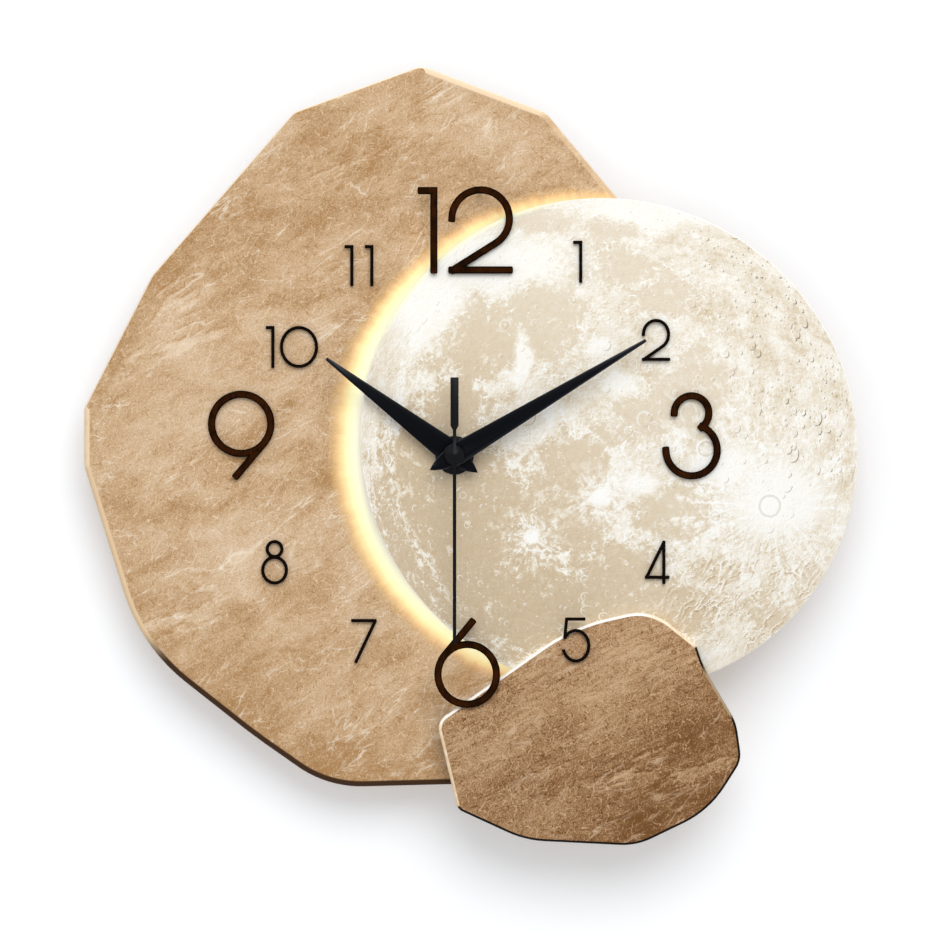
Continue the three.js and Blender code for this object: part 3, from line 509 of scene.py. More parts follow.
@dataclass(frozen=True)
class GlowBand:
    """The crescent of light along the moon's rim: a bright print, with a painted glow (emission) that keeps
    it bright in the moon's cast shadow, and a fainter painted glow of the stone below the moon and inside
    the 12 that lifts the shadows cast there.
    """

    moon: MoonShape = MoonShape()
    reach: float = 20.4
    narrowing: float = 16.8
    least_inset: float = 4.4
    end_narrowing: float = 6.0
    middle_degrees: float = 190.0
    # shine settings: the crescent's painted glow, an emission that lifts the moon's cast shadow on it,
    # stronger low down.
    shine: float = 0.26
    low_shine: float = 0.3
    shine_reach: float = 14.0
    under_moon: Point = (-3.0, -1.0)
    # spill settings: a painted glow of the stone's own colour below the moon and inside the 12, lifting the
    # shadows of the moon board and the numerals.
    spill: float = 0.34
    spill_reach: float = 42.0
    upper_spill: float = 0.24
    upper_spot: Spot = Spot(2.0, 113.0, 32.0, 30.0)
    stops: tuple[tuple[float, Colour], ...] = (
        (0.0, srgb(254, 253, 238)), (0.22, srgb(254, 253, 214)), (0.37, srgb(254, 248, 194)),
        (0.5, srgb(253, 230, 168)), (0.6, srgb(250, 212, 152)), (0.75, srgb(240, 194, 130)))

    def over(self, sheet: NodeSheet, x: Wire, z: Wire, stone: Wire, stir: Wire) -> tuple[Wire, Wire]:
        """Lays the crescent over the stone print.

        Args:
            sheet: the material's nodes.
            x: the point's x in metres.
            z: the point's height in metres.
            stone: the colour under it.
            stir: a soft random value that roughens its outer edge.

        Returns:
            The colour with the crescent, and the colour of the painted glow (emission) on the crescent and
            the stone.
        """
        gap, right, up = self.moon.beyond(x, z)
        middle = math.radians(self.middle_degrees)
        aside = 1.0 - (right * math.cos(middle) + up * math.sin(middle))
        end_inset = aside * self.end_narrowing + self.least_inset
        inset = aside.math("MINIMUM", aside * self.narrowing, end_inset)
        far = (gap + inset * MM) / (self.reach * MM)
        flare = sheet.noise(sheet.vector(right * 14.0, up * 14.0, gap * 25.0), 2.0, 5.0, 0.65)
        far = far + ((stir - 0.5) * 0.25 + (flare - 0.5) * 0.25) * sheet.ease(far, 0.1, 0.6)
        light = sheet.ramp(far, self.stops)
        strength = sheet.ease(far, 0.92, 0.5)
        # Painted glow that lifts the moon's cast shadow on the crescent, stronger towards the bottom.
        shine = sheet.ease(up, -0.25, -0.8) * self.low_shine + self.shine
        _, ny, _ = sheet.facing()
        hidden, open_from = (edge * MM for edge in self.under_moon)
        front = sheet.ease(ny, -0.9, -0.98) * sheet.ease(gap, hidden, open_from)
        # Painted glow of the stone below the moon and inside the 12, where the moon board and the numerals
        # cast shadow.
        spill = sheet.ease(gap, self.spill_reach * MM, 0.0) * sheet.ease(up, -0.6, -0.9) * self.spill
        near = sheet.nearest(sheet.vector(x / MM, z / MM, 0.0), (self.upper_spot,))
        spill = (sheet.ease(near, 1.15, 0.45) * self.upper_spill + spill) * front
        shine = shine * strength * sheet.ease(gap, self.shine_reach * MM, 0.0) * front
        spilt = sheet.mix(spill, (0.0, 0.0, 0.0, 1.0), stone)
        return sheet.mix(strength, stone, light), sheet.mix(shine, spilt, light)


@dataclass(frozen=True)
class StonePrint:
    """A printed stone: clouds, bent fibres, scratches, ragged streaks and light veins up to the right."""

    name: str
    dark: Colour
    middle: Colour
    light: Colour
    vein: Colour
    vein_degrees: float
    seed: float
    level: float
    mottle: float
    streak: float
    grain: float
    fibre: float
    scratch: float
    shade: float
    shade_towards: Point
    shade_span: Point
    # Painted highlight and painted shade on the board's rim, by the way it faces.
    rim_shading: PaintedRimShading = PaintedRimShading()
    glow: Optional[GlowBand] = None
    lighter: tuple[Spot, ...] = ()
    fibre_width: float = 0.23
    fibres: tuple[FibreLayer, ...] = (FibreLayer(190.0, 1.2, 50.0), FibreLayer(280.0, -1.0, 20.0),
                                      FibreLayer(370.0, 1.1, 75.0), FibreLayer(240.0, -0.9, -30.0))
    veins: tuple[VeinLayer, ...] = (VeinLayer(17.0, 22.0, 0.007, 2.0), VeinLayer(23.0, 40.0, 0.009, 32.0),
                                    VeinLayer(29.0, 55.0, 0.01, -22.0), VeinLayer(33.0, 34.0, 0.009, 8.0))

    def material(self) -> bpy.types.Material:
        """Makes the print's material."""
        sheet = NodeSheet(self.name)
        x, _, z = sheet.split(sheet.place())
        along, across = sheet.turned(x, z, self.vein_degrees)
        cloud = sheet.noise(sheet.vector(along * 0.45, self.seed, across), 18.0, 6.0, 0.62, 0.6)
        patch = sheet.noise(sheet.vector(along * 0.6, self.seed + 3, across), 60.0, 8.0, 0.7, 0.8)
        grain = sheet.noise(sheet.vector(x, self.seed, z), 1150.0, 2.0, 0.8)
        coarse = sheet.ease(cloud * 0.5 + patch * 0.5, 0.6, 0.38)
        tone = self.level + (cloud - 0.5) * 1.5 + (patch - 0.5) * self.mottle
        tone = tone + (grain - 0.5) * self.grain * 2.2
        tone = tone + self._crackle(sheet, x, z) * (coarse * 0.5 + 0.6) * self.fibre
        tone = tone + self._streaks(sheet, along, across) + self._scratches(sheet, along, across)
        towards = x * self.shade_towards[0] + z * self.shade_towards[1]
        tone = tone - sheet.ease(towards, self.shade_span[0] * MM, self.shade_span[1] * MM) * self.shade
        if self.lighter:
            near = sheet.nearest(sheet.vector(x / MM, z / MM, 0.0), self.lighter)
            tone = tone + sheet.ease(near, 1.2, 0.3) * 0.15
        colour = sheet.ramp(tone, [(0.08, self.dark), (0.5, self.middle), (0.92, self.light)])
        colour = sheet.mix(self._veins(sheet, x, z, patch), colour, self.vein)
        feeds: Feeds = {"Specular IOR Level": 0.08, "Normal": sheet.bump(patch, 0.0002, 0.15)}
        if self.glow:
            # The glow band's emission is a painted glow that lifts the moon's shadow on the print.
            colour, feeds["Emission Color"] = self.glow.over(sheet, x, z, colour, patch)
            feeds["Emission Strength"] = 1.0
        feeds["Base Color"] = self.rim_shading.over(sheet, colour)
        feeds["Roughness"] = 0.62 - (tone - 0.5) * 0.12
        return sheet.finish(feeds)

    def _crackle(self, sheet: NodeSheet, x: Wire, z: Wire) -> Wire:
        """Short bent fibres: the broken outlines of small stirred cells, some light and some dark.

        Args:
            sheet: the material's nodes.
            x: the point's x in metres.
            z: the point's height in metres.

        Returns:
            How much lighter than its surroundings the point is.
        """
        stir = [(sheet.noise(sheet.vector(x, self.seed + deep, z), 170.0, 1.5, 0.6) - 0.5) * (5.0 * MM)
                for deep in (5.0, 8.0)]
        total: Feed = 0.0
        for number, layer in enumerate(self.fibres):
            along, across = sheet.turned(x + stir[0], z + stir[1], layer.degrees)
            at = sheet.vector(along * 0.4 + number * 0.7, across, 0.0)
            broken = sheet.noise(sheet.vector(x, self.seed + 20 + number, z), 300.0, 3.0, 0.6)
            line = sheet.lines(at, layer.scale, self.fibre_width * MM * layer.scale)
            total = line * sheet.ease(broken, 0.48, 0.57) * layer.lightness + total
        return total

    def _streaks(self, sheet: NodeSheet, along: Wire, across: Wire) -> Wire:
        """Ragged light streaks with a darker line above them.

        Args:
            sheet: the material's nodes.
            along: distance along the streaks in metres.
            across: distance across them in metres.

        Returns:
            How much lighter or darker the point is.
        """
        light, above = [
            sheet.ease(sheet.noise(sheet.vector(along * 0.24, self.seed + 11, across - lift * MM),
                                   30.0, 10.0, 0.64, 0.2), 0.575, 0.63) for lift in (0.0, 1.1)]
        return (light - above * (1.0 - light)) * self.streak

    def _scratches(self, sheet: NodeSheet, along: Wire, across: Wire) -> Wire:
        """Fine straight marks that lie along the streaks, in patches.

        Args:
            sheet: the material's nodes.
            along: distance along the streaks in metres.
            across: distance across them in metres.

        Returns:
            How much lighter or darker the point is.
        """
        marks = sheet.noise(sheet.vector(along * 0.1, self.seed + 14, across), 560.0, 4.0, 0.7)
        where = sheet.noise(sheet.vector(along * 0.5, self.seed + 16, across), 26.0, 3.0)
        return (marks - 0.5) * sheet.ease(where, 0.42, 0.6) * self.scratch

    def _veins(self, sheet: NodeSheet, x: Wire, z: Wire, stir: Wire) -> Wire:
        """How strongly a vein shows at a point.

        Args:
            sheet: the material's nodes.
            x: the point's x in metres.
            z: the point's height in metres.
            stir: mottling that breaks them up.

        Returns:
            The share of vein colour.
        """
        total: Feed = 0.0
        for layer in self.veins:
            along, across = sheet.turned(x, z, self.vein_degrees + layer.degrees)
            at = sheet.vector(along * 0.2, self.seed + layer.seed, across)
            line = abs(sheet.noise(at, layer.scale, 5.0, 0.55, 0.2) - 0.5)
            patch = sheet.vector(along * 0.6, self.seed + layer.seed + 2, across)
            where = sheet.noise(patch, layer.scale * 1.6, 3.0)
            shown = sheet.ease(where, 0.5, 0.62) * sheet.ease(stir, 0.35, 0.6)
            total = sheet.ease(line, layer.width, 0.0) * shown * 0.75 + total
        return total


@dataclass(frozen=True)
class MoonPrint:
    """A printed full moon: beige plains, white highlands, ray craters and small rings."""

    name: str = "moon_print"
    moon: MoonShape = MoonShape()
    tones: tuple[tuple[float, Colour], ...] = (
        (0.0, srgb(186, 162, 126)), (0.2, srgb(205, 184, 153)), (0.4, srgb(222, 207, 182)),
        (0.6, srgb(236, 227, 210)), (0.8, srgb(247, 243, 233)), (1.0, srgb(254, 254, 251)))
    white: Colour = srgb(254, 254, 250)
    shadow: Colour = srgb(178, 158, 126)
    pit: Colour = srgb(112, 93, 66)
    rim: Colour = srgb(255, 253, 247)
    warm: Colour = srgb(253, 253, 218)
    plains: tuple[Spot, ...] = (
        Spot(-0.54, 0.41, 0.20, 0.15), Spot(-0.27, 0.52, 0.16, 0.17), Spot(-0.27, 0.90, 0.11, 0.05),
        Spot(0.01, 0.86, 0.12, 0.05), Spot(-0.19, 0.68, 0.07, 0.11), Spot(0.06, 0.72, 0.12, 0.05),
        Spot(0.22, 0.59, 0.12, 0.09), Spot(0.34, 0.20, 0.13, 0.19), Spot(0.14, 0.10, 0.12, 0.10),
        Spot(-0.12, -0.06, 0.15, 0.12), Spot(-0.60, -0.36, 0.36, 0.34), Spot(-0.34, -0.64, 0.36, 0.2),
        Spot(-0.22, -0.30, 0.22, 0.16), Spot(0.27, -0.27, 0.16, 0.13), Spot(0.05, -0.60, 0.24, 0.2),
        Spot(0.31, -0.66, 0.14, 0.1), Spot(-0.77, -0.12, 0.16, 0.24), Spot(-0.63, 0.13, 0.14, 0.15),
        Spot(0.69, -0.70, 0.11, 0.09), Spot(0.47, -0.50, 0.12, 0.07), Spot(0.80, -0.55, 0.08, 0.1),
    )
    bright: tuple[Spot, ...] = (
        Spot(-0.36, 0.36, 0.03, 0.10), Spot(-0.03, 0.40, 0.07, 0.04), Spot(-0.04, -0.20, 0.05, 0.04),
        Spot(-0.31, -0.375, 0.03, 0.028), Spot(-0.22, 0.12, 0.03, 0.07), Spot(0.68, -0.22, 0.17, 0.15),
        Spot(-0.45, 0.73, 0.30, 0.12), Spot(0.30, 0.95, 0.45, 0.08), Spot(0.05, 0.25, 0.08, 0.05),
        Spot(0.46, -0.08, 0.11, 0.08), Spot(0.14, -0.15, 0.07, 0.04), Spot(-0.74, 0.58, 0.16, 0.2),
    )
    furrowed: Spot = Spot(0.58, -0.62, 0.36, 0.28)
    ridge_degrees: float = 40.0
    rings: tuple[Spot, ...] = (
        Spot(0.648, -0.247, 0.046, 0.046), Spot(0.256, -0.445, 0.013, 0.013),
        Spot(0.392, -0.017, 0.034, 0.032), Spot(-0.59, -0.203, 0.011, 0.011),
        Spot(-0.574, -0.324, 0.009, 0.01), Spot(-0.893, -0.061, 0.013, 0.019),
        Spot(-0.864, -0.28, 0.008, 0.011), Spot(-0.864, -0.372, 0.008, 0.012),
        Spot(0.097, 0.33, 0.012, 0.012), Spot(0.335, 0.666, 0.013, 0.012),
        Spot(0.448, 0.447, 0.011, 0.012), Spot(0.428, -0.288, 0.02, 0.019),
    )
    rays: tuple[RayCrater, ...] = (RayCrater(0.65, -0.245, 1.05, 0.05, 0.9),
                                   RayCrater(-0.31, -0.375, 0.34, 0.02),
                                   RayCrater(-0.04, -0.20, 0.26, 0.02))
    hills: tuple[HillLayer, ...] = (HillLayer(26.0, 0.006, 1.1), HillLayer(75.0, 0.003, 1.2))
    craters: tuple[CraterLayer, ...] = (CraterLayer(6.0, 0.82, 0.03), CraterLayer(11.0, 0.84, 0.045),
                                        CraterLayer(19.0, 0.89, 0.065), CraterLayer(33.0, 0.93, 0.09))

    def material(self) -> bpy.types.Material:
        """Makes the print's material."""
        sheet = NodeSheet(self.name)
        x, _, z = sheet.split(sheet.place())
        radius = self.moon.mean_radius * MM
        u = (x - self.moon.x * MM) / radius
        v = (z - self.moon.z * MM) / radius
        reach = (u * u + v * v) ** 0.5
        inner = reach * 0.975 + TINY_SHARE
        bulge = inner.math("ARCSINE", inner) / inner
        round_u, round_v = u * bulge, v * bulge
        ball = sheet.vector(round_u, round_v, 0.0)
        coarse = sheet.noise(ball, 6.0, 9.0, 0.64, 0.4)
        fine = sheet.noise(ball, 30.0, 7.0, 0.7, 0.6)
        tone, plain = self._ground(sheet, u, v, ball, coarse, fine)
        arc = abs(reach - 0.88 + (coarse - 0.5) * 0.14)
        chain = sheet.ease(arc, 0.03, 0.0) * sheet.ease(u, -0.5, -0.75) * sheet.ease(fine, 0.45, 0.55) * 0.7
        white = chain.math("MAXIMUM", chain, self._rays(sheet, u, v, fine))
        hills = self._relief(sheet, round_u, round_v) * (1.0 - plain * 0.75)
        tone = tone + white * (1.0 - tone) + hills
        tone = self._furrows(sheet, u, v, tone)
        colour = sheet.ramp(tone, self.tones)
        colour = self._craters(sheet, colour, round_u, round_v, u * 0.94 + v * 0.34)
        near = sheet.nearest(sheet.vector(u, v, 0.0), self.rings) + (fine - 0.5) * 0.3
        colour = sheet.mix(sheet.ease(abs(near - 1.12), 0.24, 0.05) * 0.6, colour, self.white)
        colour = sheet.mix(sheet.ease(abs(near - 0.9), 0.16, 0.03) * 0.32, colour, self.shadow)
        return sheet.finish({
            "Base Color": self._edge(sheet, x, z, colour),
            "Roughness": 0.66 - tone * 0.08,
            "Specular IOR Level": 0.08,
            "Normal": sheet.bump(fine, 0.0001, 0.06),
        })

    def _ground(self, sheet: NodeSheet, u: Wire, v: Wire, ball: Wire, coarse: Wire,
                fine: Wire) -> tuple[Wire, Wire]:
        """Plains, highlands and bright patches as one tone.

        Args:
            sheet: the material's nodes.
            u: place to the right, in shares of the radius.
            v: place upwards, in shares of the radius.
            ball: place on the ball.
            coarse: wide mottling.
            fine: fine mottling.

        Returns:
            The tone, from 0 for the darkest plain to 1 for white, and the share of plain.
        """
        stir = [(sheet.noise(sheet.vector(u, v, deep), 4.0, 6.0, 0.62) - 0.5) * 0.22
                for deep in (0.0, 4.0)]
        stirred = sheet.vector(u + stir[0], v + stir[1], 0.0)
        edge = sheet.nearest(stirred, self.plains) + (coarse - 0.5) * 1.9 + (fine - 0.5) * 1.1
        plain = sheet.ease(edge, 1.2, 0.92)
        border = sheet.ease(edge, 0.7, 1.0) * sheet.ease(edge, 1.9, 1.2)
        curl = sheet.vector(u + stir[0] * 0.5 + fine * 0.05, v + stir[1] * 0.5 + coarse * 0.08, 0.0)
        lace = sheet.lines(curl, 21.0, 0.09) + sheet.lines(curl, 38.0, 0.12)
        lace = lace * sheet.ease(sheet.noise(ball, 23.0, 5.0, 0.7), 0.44, 0.58) * (border * 0.9 + 0.05)
        high = 0.605 + (coarse - 0.5) * 1.35 + (fine - 0.5) * 0.85
        low = 0.235 + sheet.ease(v * 0.7 + u * 0.8, -0.75, 0.4) * 0.26 + (fine - 0.5) * 0.3
        tone = high + (low - high) * plain
        spread = sheet.nearest(stirred, self.bright) + (fine - 0.5) * 2.4 + (coarse - 0.5) * 1.2
        tone = tone + sheet.ease(spread, 1.3, 0.6) * (0.98 - tone) * 0.8
        splash = sheet.ease(sheet.noise(ball, 12.0, 9.0, 0.74, 0.5), 0.57, 0.62)
        tone = tone + splash * (0.95 - tone) * 0.4
        chance, size, _ = sheet.split(sheet.cells(ball, 40.0, "Color"))
        dot = sheet.ease(sheet.cells(ball, 40.0) / (size * size * 0.18 + 0.04), 1.0, 0.6)
        tone = tone + (lace + dot * sheet.ease(chance, 0.74, 0.76) * 0.7) * (1.0 - tone) * 0.8
        dust = sheet.noise(ball, 170.0, 3.0, 0.7)
        return tone + (dust - 0.5) * 0.28, plain

    def _furrows(self, sheet: NodeSheet, u: Wire, v: Wire, tone: Wire) -> Wire:
        """Crisp ridges over the lower right, drawn out along the limb.

        Args:
            sheet: the material's nodes.
            u: place to the right, in shares of the radius.
            v: place upwards, in shares of the radius.
            tone: the ground's tone.

        Returns:
            The tone with light ridges and the darker ground beside them.
        """
        along, across = sheet.turned(u, v, self.ridge_degrees)
        bend = (sheet.noise(sheet.vector(u, v, 2.0), 11.0, 4.0, 0.6) - 0.5) * 0.2
        where = sheet.ease(sheet.nearest(sheet.vector(u, v, 0.0), (self.furrowed,)), 1.3, 0.5)
        ridge, beside = [
            sheet.lines(sheet.vector(along + bend, across * 3.6 + bend * 2.0 + lift, 0.0), 9.0, width)
            for lift, width in ((0.0, 0.12), (0.025, 0.14))]
        broken = sheet.ease(sheet.noise(sheet.vector(u, v, 6.0), 13.0, 5.0, 0.7), 0.42, 0.58)
        tone = tone + ridge * where * broken * (1.0 - tone) * 0.9
        return tone - (beside * (1.0 - ridge) * broken * 0.34 + 0.07) * where

    def _relief(self, sheet: NodeSheet, u: Wire, v: Wire) -> Wire:
        """Small hills, drawn as if lit from the upper left.

        Args:
            sheet: the material's nodes.
            u: place to the right on the ball.
            v: place upwards on the ball.

        Returns:
            How much lighter than its surroundings the point is.
        """
        total: Feed = 0.0
        for layer in self.hills:
            here = sheet.noise(sheet.vector(u, v, 9.0), layer.scale, 5.0, 0.7, 0.8)
            moved = sheet.vector(u + layer.lift, v - layer.lift, 9.0)
            total = (here - sheet.noise(moved, layer.scale, 5.0, 0.7, 0.8)) * layer.strength + total
        return total * 0.6

    def _rays(self, sheet: NodeSheet, u: Wire, v: Wire, fine: Wire) -> Wire:
        """Light streaks that run out from the young craters.

        Args:
            sheet: the material's nodes.
            u: place to the right, in shares of the radius.
            v: place upwards, in shares of the radius.
            fine: fine mottling that breaks the streaks.

        Returns:
            The share of white.
        """
        total: Feed = 0.0
        for number, crater in enumerate(self.rays):
            right, up = u - crater.u, v - crater.v
            far = (right * right + up * up) ** 0.5 + TINY_SHARE
            fan = sheet.vector(right / far * 2.2, up / far * 2.2, far * 1.6 + number * 3.0)
            streak = sheet.ease(sheet.noise(fan, 3.6, 8.0, 0.76), 0.47, 0.6)
            fade = sheet.ease(far, crater.reach, crater.core)
            spread = sheet.vector(right / far * 6.0 + fine, up / far * 6.0 + fine, 0.0)
            hair = sheet.lines(spread, 4.0, 0.08)
            near = sheet.ease(far, crater.core * 9.0, crater.core)
            halo = near * (sheet.ease(fine, 0.42, 0.58) + hair) * 0.5
            core = sheet.ease(far, crater.core * 1.5, crater.core * 0.5)
            total = streak * fade * sheet.ease(fine, 0.3, 0.62) * crater.strength + halo + core + total
        return sheet.ease(total, 0.0, 0.95) * 0.92

    def _craters(self, sheet: NodeSheet, colour: Wire, u: Wire, v: Wire, east: Wire) -> Wire:
        """Draws ring craters of four sizes, more of them and deeper ones towards the right limb.

        Args:
            sheet: the material's nodes.
            colour: the ground's colour.
            u: place to the right on the ball.
            v: place upwards on the ball.
            east: how far the point lies towards the right limb.

        Returns:
            The colour with craters.
        """
        ball = sheet.vector(u, v, 0.0)
        limb = sheet.ease(east, 0.35, 0.85) * sheet.ease(v, -0.55, 0.05)
        hollow = sheet.mix(limb, self.shadow, self.pit)
        cluster = sheet.ease(sheet.noise(ball, 5.0, 2.0), 0.42, 0.62) * 0.34
        for layer in self.craters:
            far = sheet.cells(ball, layer.scale)
            chance, size, _ = sheet.split(sheet.cells(ball, layer.scale, "Color"))
            radius = size * size * 0.26 + 0.08
            shown = sheet.ease(chance + limb * cluster, layer.rarity, layer.rarity + 0.02)
            ring = sheet.ease(abs(far - radius), layer.width, layer.width * 0.2) * shown
            across, upward, _ = sheet.split(sheet.cells(ball, layer.scale, "Position"))
            side = ((u - across) * -0.8 + (v - upward) * 0.6) * layer.scale / radius
            colour = sheet.mix(ring * (sheet.ease(side, -0.6, 0.8) * 0.45 + 0.15), colour, self.white)
            colour = sheet.mix(ring * sheet.ease(side, 0.1, -1.0) * (limb * 0.5 + 0.5), colour, hollow)
        return colour

    def _edge(self, sheet: NodeSheet, x: Wire, z: Wire, face: Wire) -> Wire:
        """Adds the rim's glow at the upper left, the white rim and the raw back.

        Args:
            sheet: the material's nodes.
            x: the point's x in metres.
            z: the point's height in metres.
            face: colour of the front face.

        Returns:
            The colour all round the disc.
        """
        gap, right, up = self.moon.beyond(x, z)
        glow = sheet.ease(gap, -2.8 * MM, -0.4 * MM) * sheet.ease(up * 0.77 - right * 0.64, 0.85, 0.97)
        _, ny, _ = sheet.facing()
        colour = sheet.mix(sheet.ease(ny, -0.99, -0.9), sheet.mix(glow, face, self.warm), self.rim)
        return RawBoard().behind(sheet, ny, colour)


@dataclass(frozen=True)
class StainedNumeral:
    """Cut numerals: a stained face with straight grain and burnt, almost black edges."""

    name: str = "numeral_brown"
    face: Colour = srgb(54, 24, 4)
    grain: Colour = srgb(21, 8, 1)
    burnt: Colour = srgb(13, 7, 4)

    def material(self) -> bpy.types.Material:
        """Makes the material of the stained numerals."""
        sheet = NodeSheet(self.name)
        x, _, z = sheet.split(sheet.place())
        streak = sheet.noise(sheet.vector(x, 0.0, z * 0.08), 1400.0, 4.0, 0.65, 0.4)
        _, ny, _ = sheet.facing()
        cloud = sheet.noise(sheet.place(), 160.0, 2.0)
        face = sheet.mix(sheet.ease(streak * 0.5 + cloud * 0.5, 0.36, 0.62), self.grain, self.face)
        colour = sheet.mix(sheet.ease(ny, -0.98, -0.8), face, self.burnt)
        return sheet.finish({"Base Color": colour, "Roughness": 0.62 + (streak - 0.5) * 0.2,
                             "Specular IOR Level": 0.02, "Normal": sheet.bump(streak, 0.00005, 0.4)})


@dataclass(frozen=True)
class HandLacquer:
    """Black lacquer on punched hands, glossy along their eased edges, which are painted grey as a
    highlight.
    """

    name: str = "hand_lacquer"
    black: Colour = srgb(6, 7, 13)
    # A painted highlight: grey laid on the eased edges.
    painted_edge_highlight: Colour = srgb(108, 111, 118)

    def material(self) -> bpy.types.Material:
        """Makes the lacquer's material."""
        sheet = NodeSheet(self.name)
        speck = sheet.noise(sheet.place(), 2600.0, 3.0, 0.6)
        cloud = sheet.noise(sheet.place(), 120.0, 3.0, 0.6)
        _, ny, _ = sheet.facing()
        # The eased edges take the painted grey highlight and a glossy coat.
        edge = sheet.ease(ny, -0.99, -0.93) * sheet.ease(ny, -0.05, -0.25)
        return sheet.finish({
            "Base Color": sheet.mix(edge * (cloud * 0.5 + 0.6), self.black, self.painted_edge_highlight),
            "Roughness": 0.36 + (cloud - 0.5) * 0.14,
            "Specular IOR Level": 0.05,
            "Coat Weight": edge,
            "Coat Roughness": 0.25,
            "Normal": sheet.bump(speck, 0.00001, 0.4),
        })


@dataclass(frozen=True)
class SolidFinish:
    """One body colour with a fine texture: lacquer, moulded plastic, rubber or plated metal."""

    name: str
    colour: Colour
    gloss: Gloss = Gloss.SATIN
    metal: float = 0.0
    texture_scale: float = 1500.0
    texture_depth: float = 0.00003
    stretch: float = 1.0
    variation: float = 0.25
    specular: float = 0.3

    def material(self) -> bpy.types.Material:
        """Makes the finish's material."""
        sheet = NodeSheet(self.name)
        x, y, z = sheet.split(sheet.place())
        speckle = sheet.noise(sheet.vector(x * self.stretch, y, z), self.texture_scale, 3.0, 0.6)
        cloud = sheet.noise(sheet.place(), 60.0, 3.0, 0.6)
        shade = tuple(channel * (1 - self.variation) for channel in self.colour[:3]) + (1.0,)
        colour = sheet.mix(sheet.ease(speckle * 0.6 + cloud * 0.4, 0.3, 0.7), shade, self.colour)
        return sheet.finish({
            "Base Color": colour,
            "Roughness": self.gloss.value + (cloud - 0.5) * 0.14 + (speckle - 0.5) * 0.1,
            "Metallic": self.metal,
            "Specular IOR Level": self.specular,
            "Normal": sheet.bump(speckle, self.texture_depth, 0.5),
        })


@dataclass(frozen=True)
class CellSleeve:
    """The plain printed sleeve of the cell, with a copper-coloured shoulder and steel ends."""

    name: str = "cell_sleeve"
    sleeve: Colour = srgb(38, 40, 44)
    band: Colour = srgb(176, 112, 58)
    steel: Colour = srgb(190, 192, 194)
    band_from: float = -14.0
    band_blur: float = 0.2
    line_offset: float = 1.2
    line_span: Point = (0.5, 0.3)
    end_at: float = 24.2
    end_blur: float = 0.3

    def material(self) -> bpy.types.Material:
        """Makes the sleeve's material."""
        sheet = NodeSheet(self.name)
        x, _, _ = sheet.split(sheet.place())
        low, high = self.band_from - self.band_blur, self.band_from + self.band_blur
        shoulder = sheet.ease(x, high * MM, low * MM)
        colour = sheet.mix(shoulder, self.sleeve, self.band)
        off_line = abs(x - (self.band_from + self.line_offset) * MM)
        line = sheet.ease(off_line, self.line_span[0] * MM, self.line_span[1] * MM)
        colour = sheet.mix(line, colour, self.band)
        ends = sheet.ease(abs(x), (self.end_at - self.end_blur) * MM, self.end_at * MM)
        scuff = sheet.noise(sheet.place(), 240.0, 4.0, 0.6)
        return sheet.finish({
            "Base Color": sheet.mix(ends, colour, self.steel),
            "Metallic": ends * 0.9 + 0.05,
            "Roughness": 0.3 + scuff * 0.16,
            "Normal": sheet.bump(scuff, 0.00003, 0.3),
        })


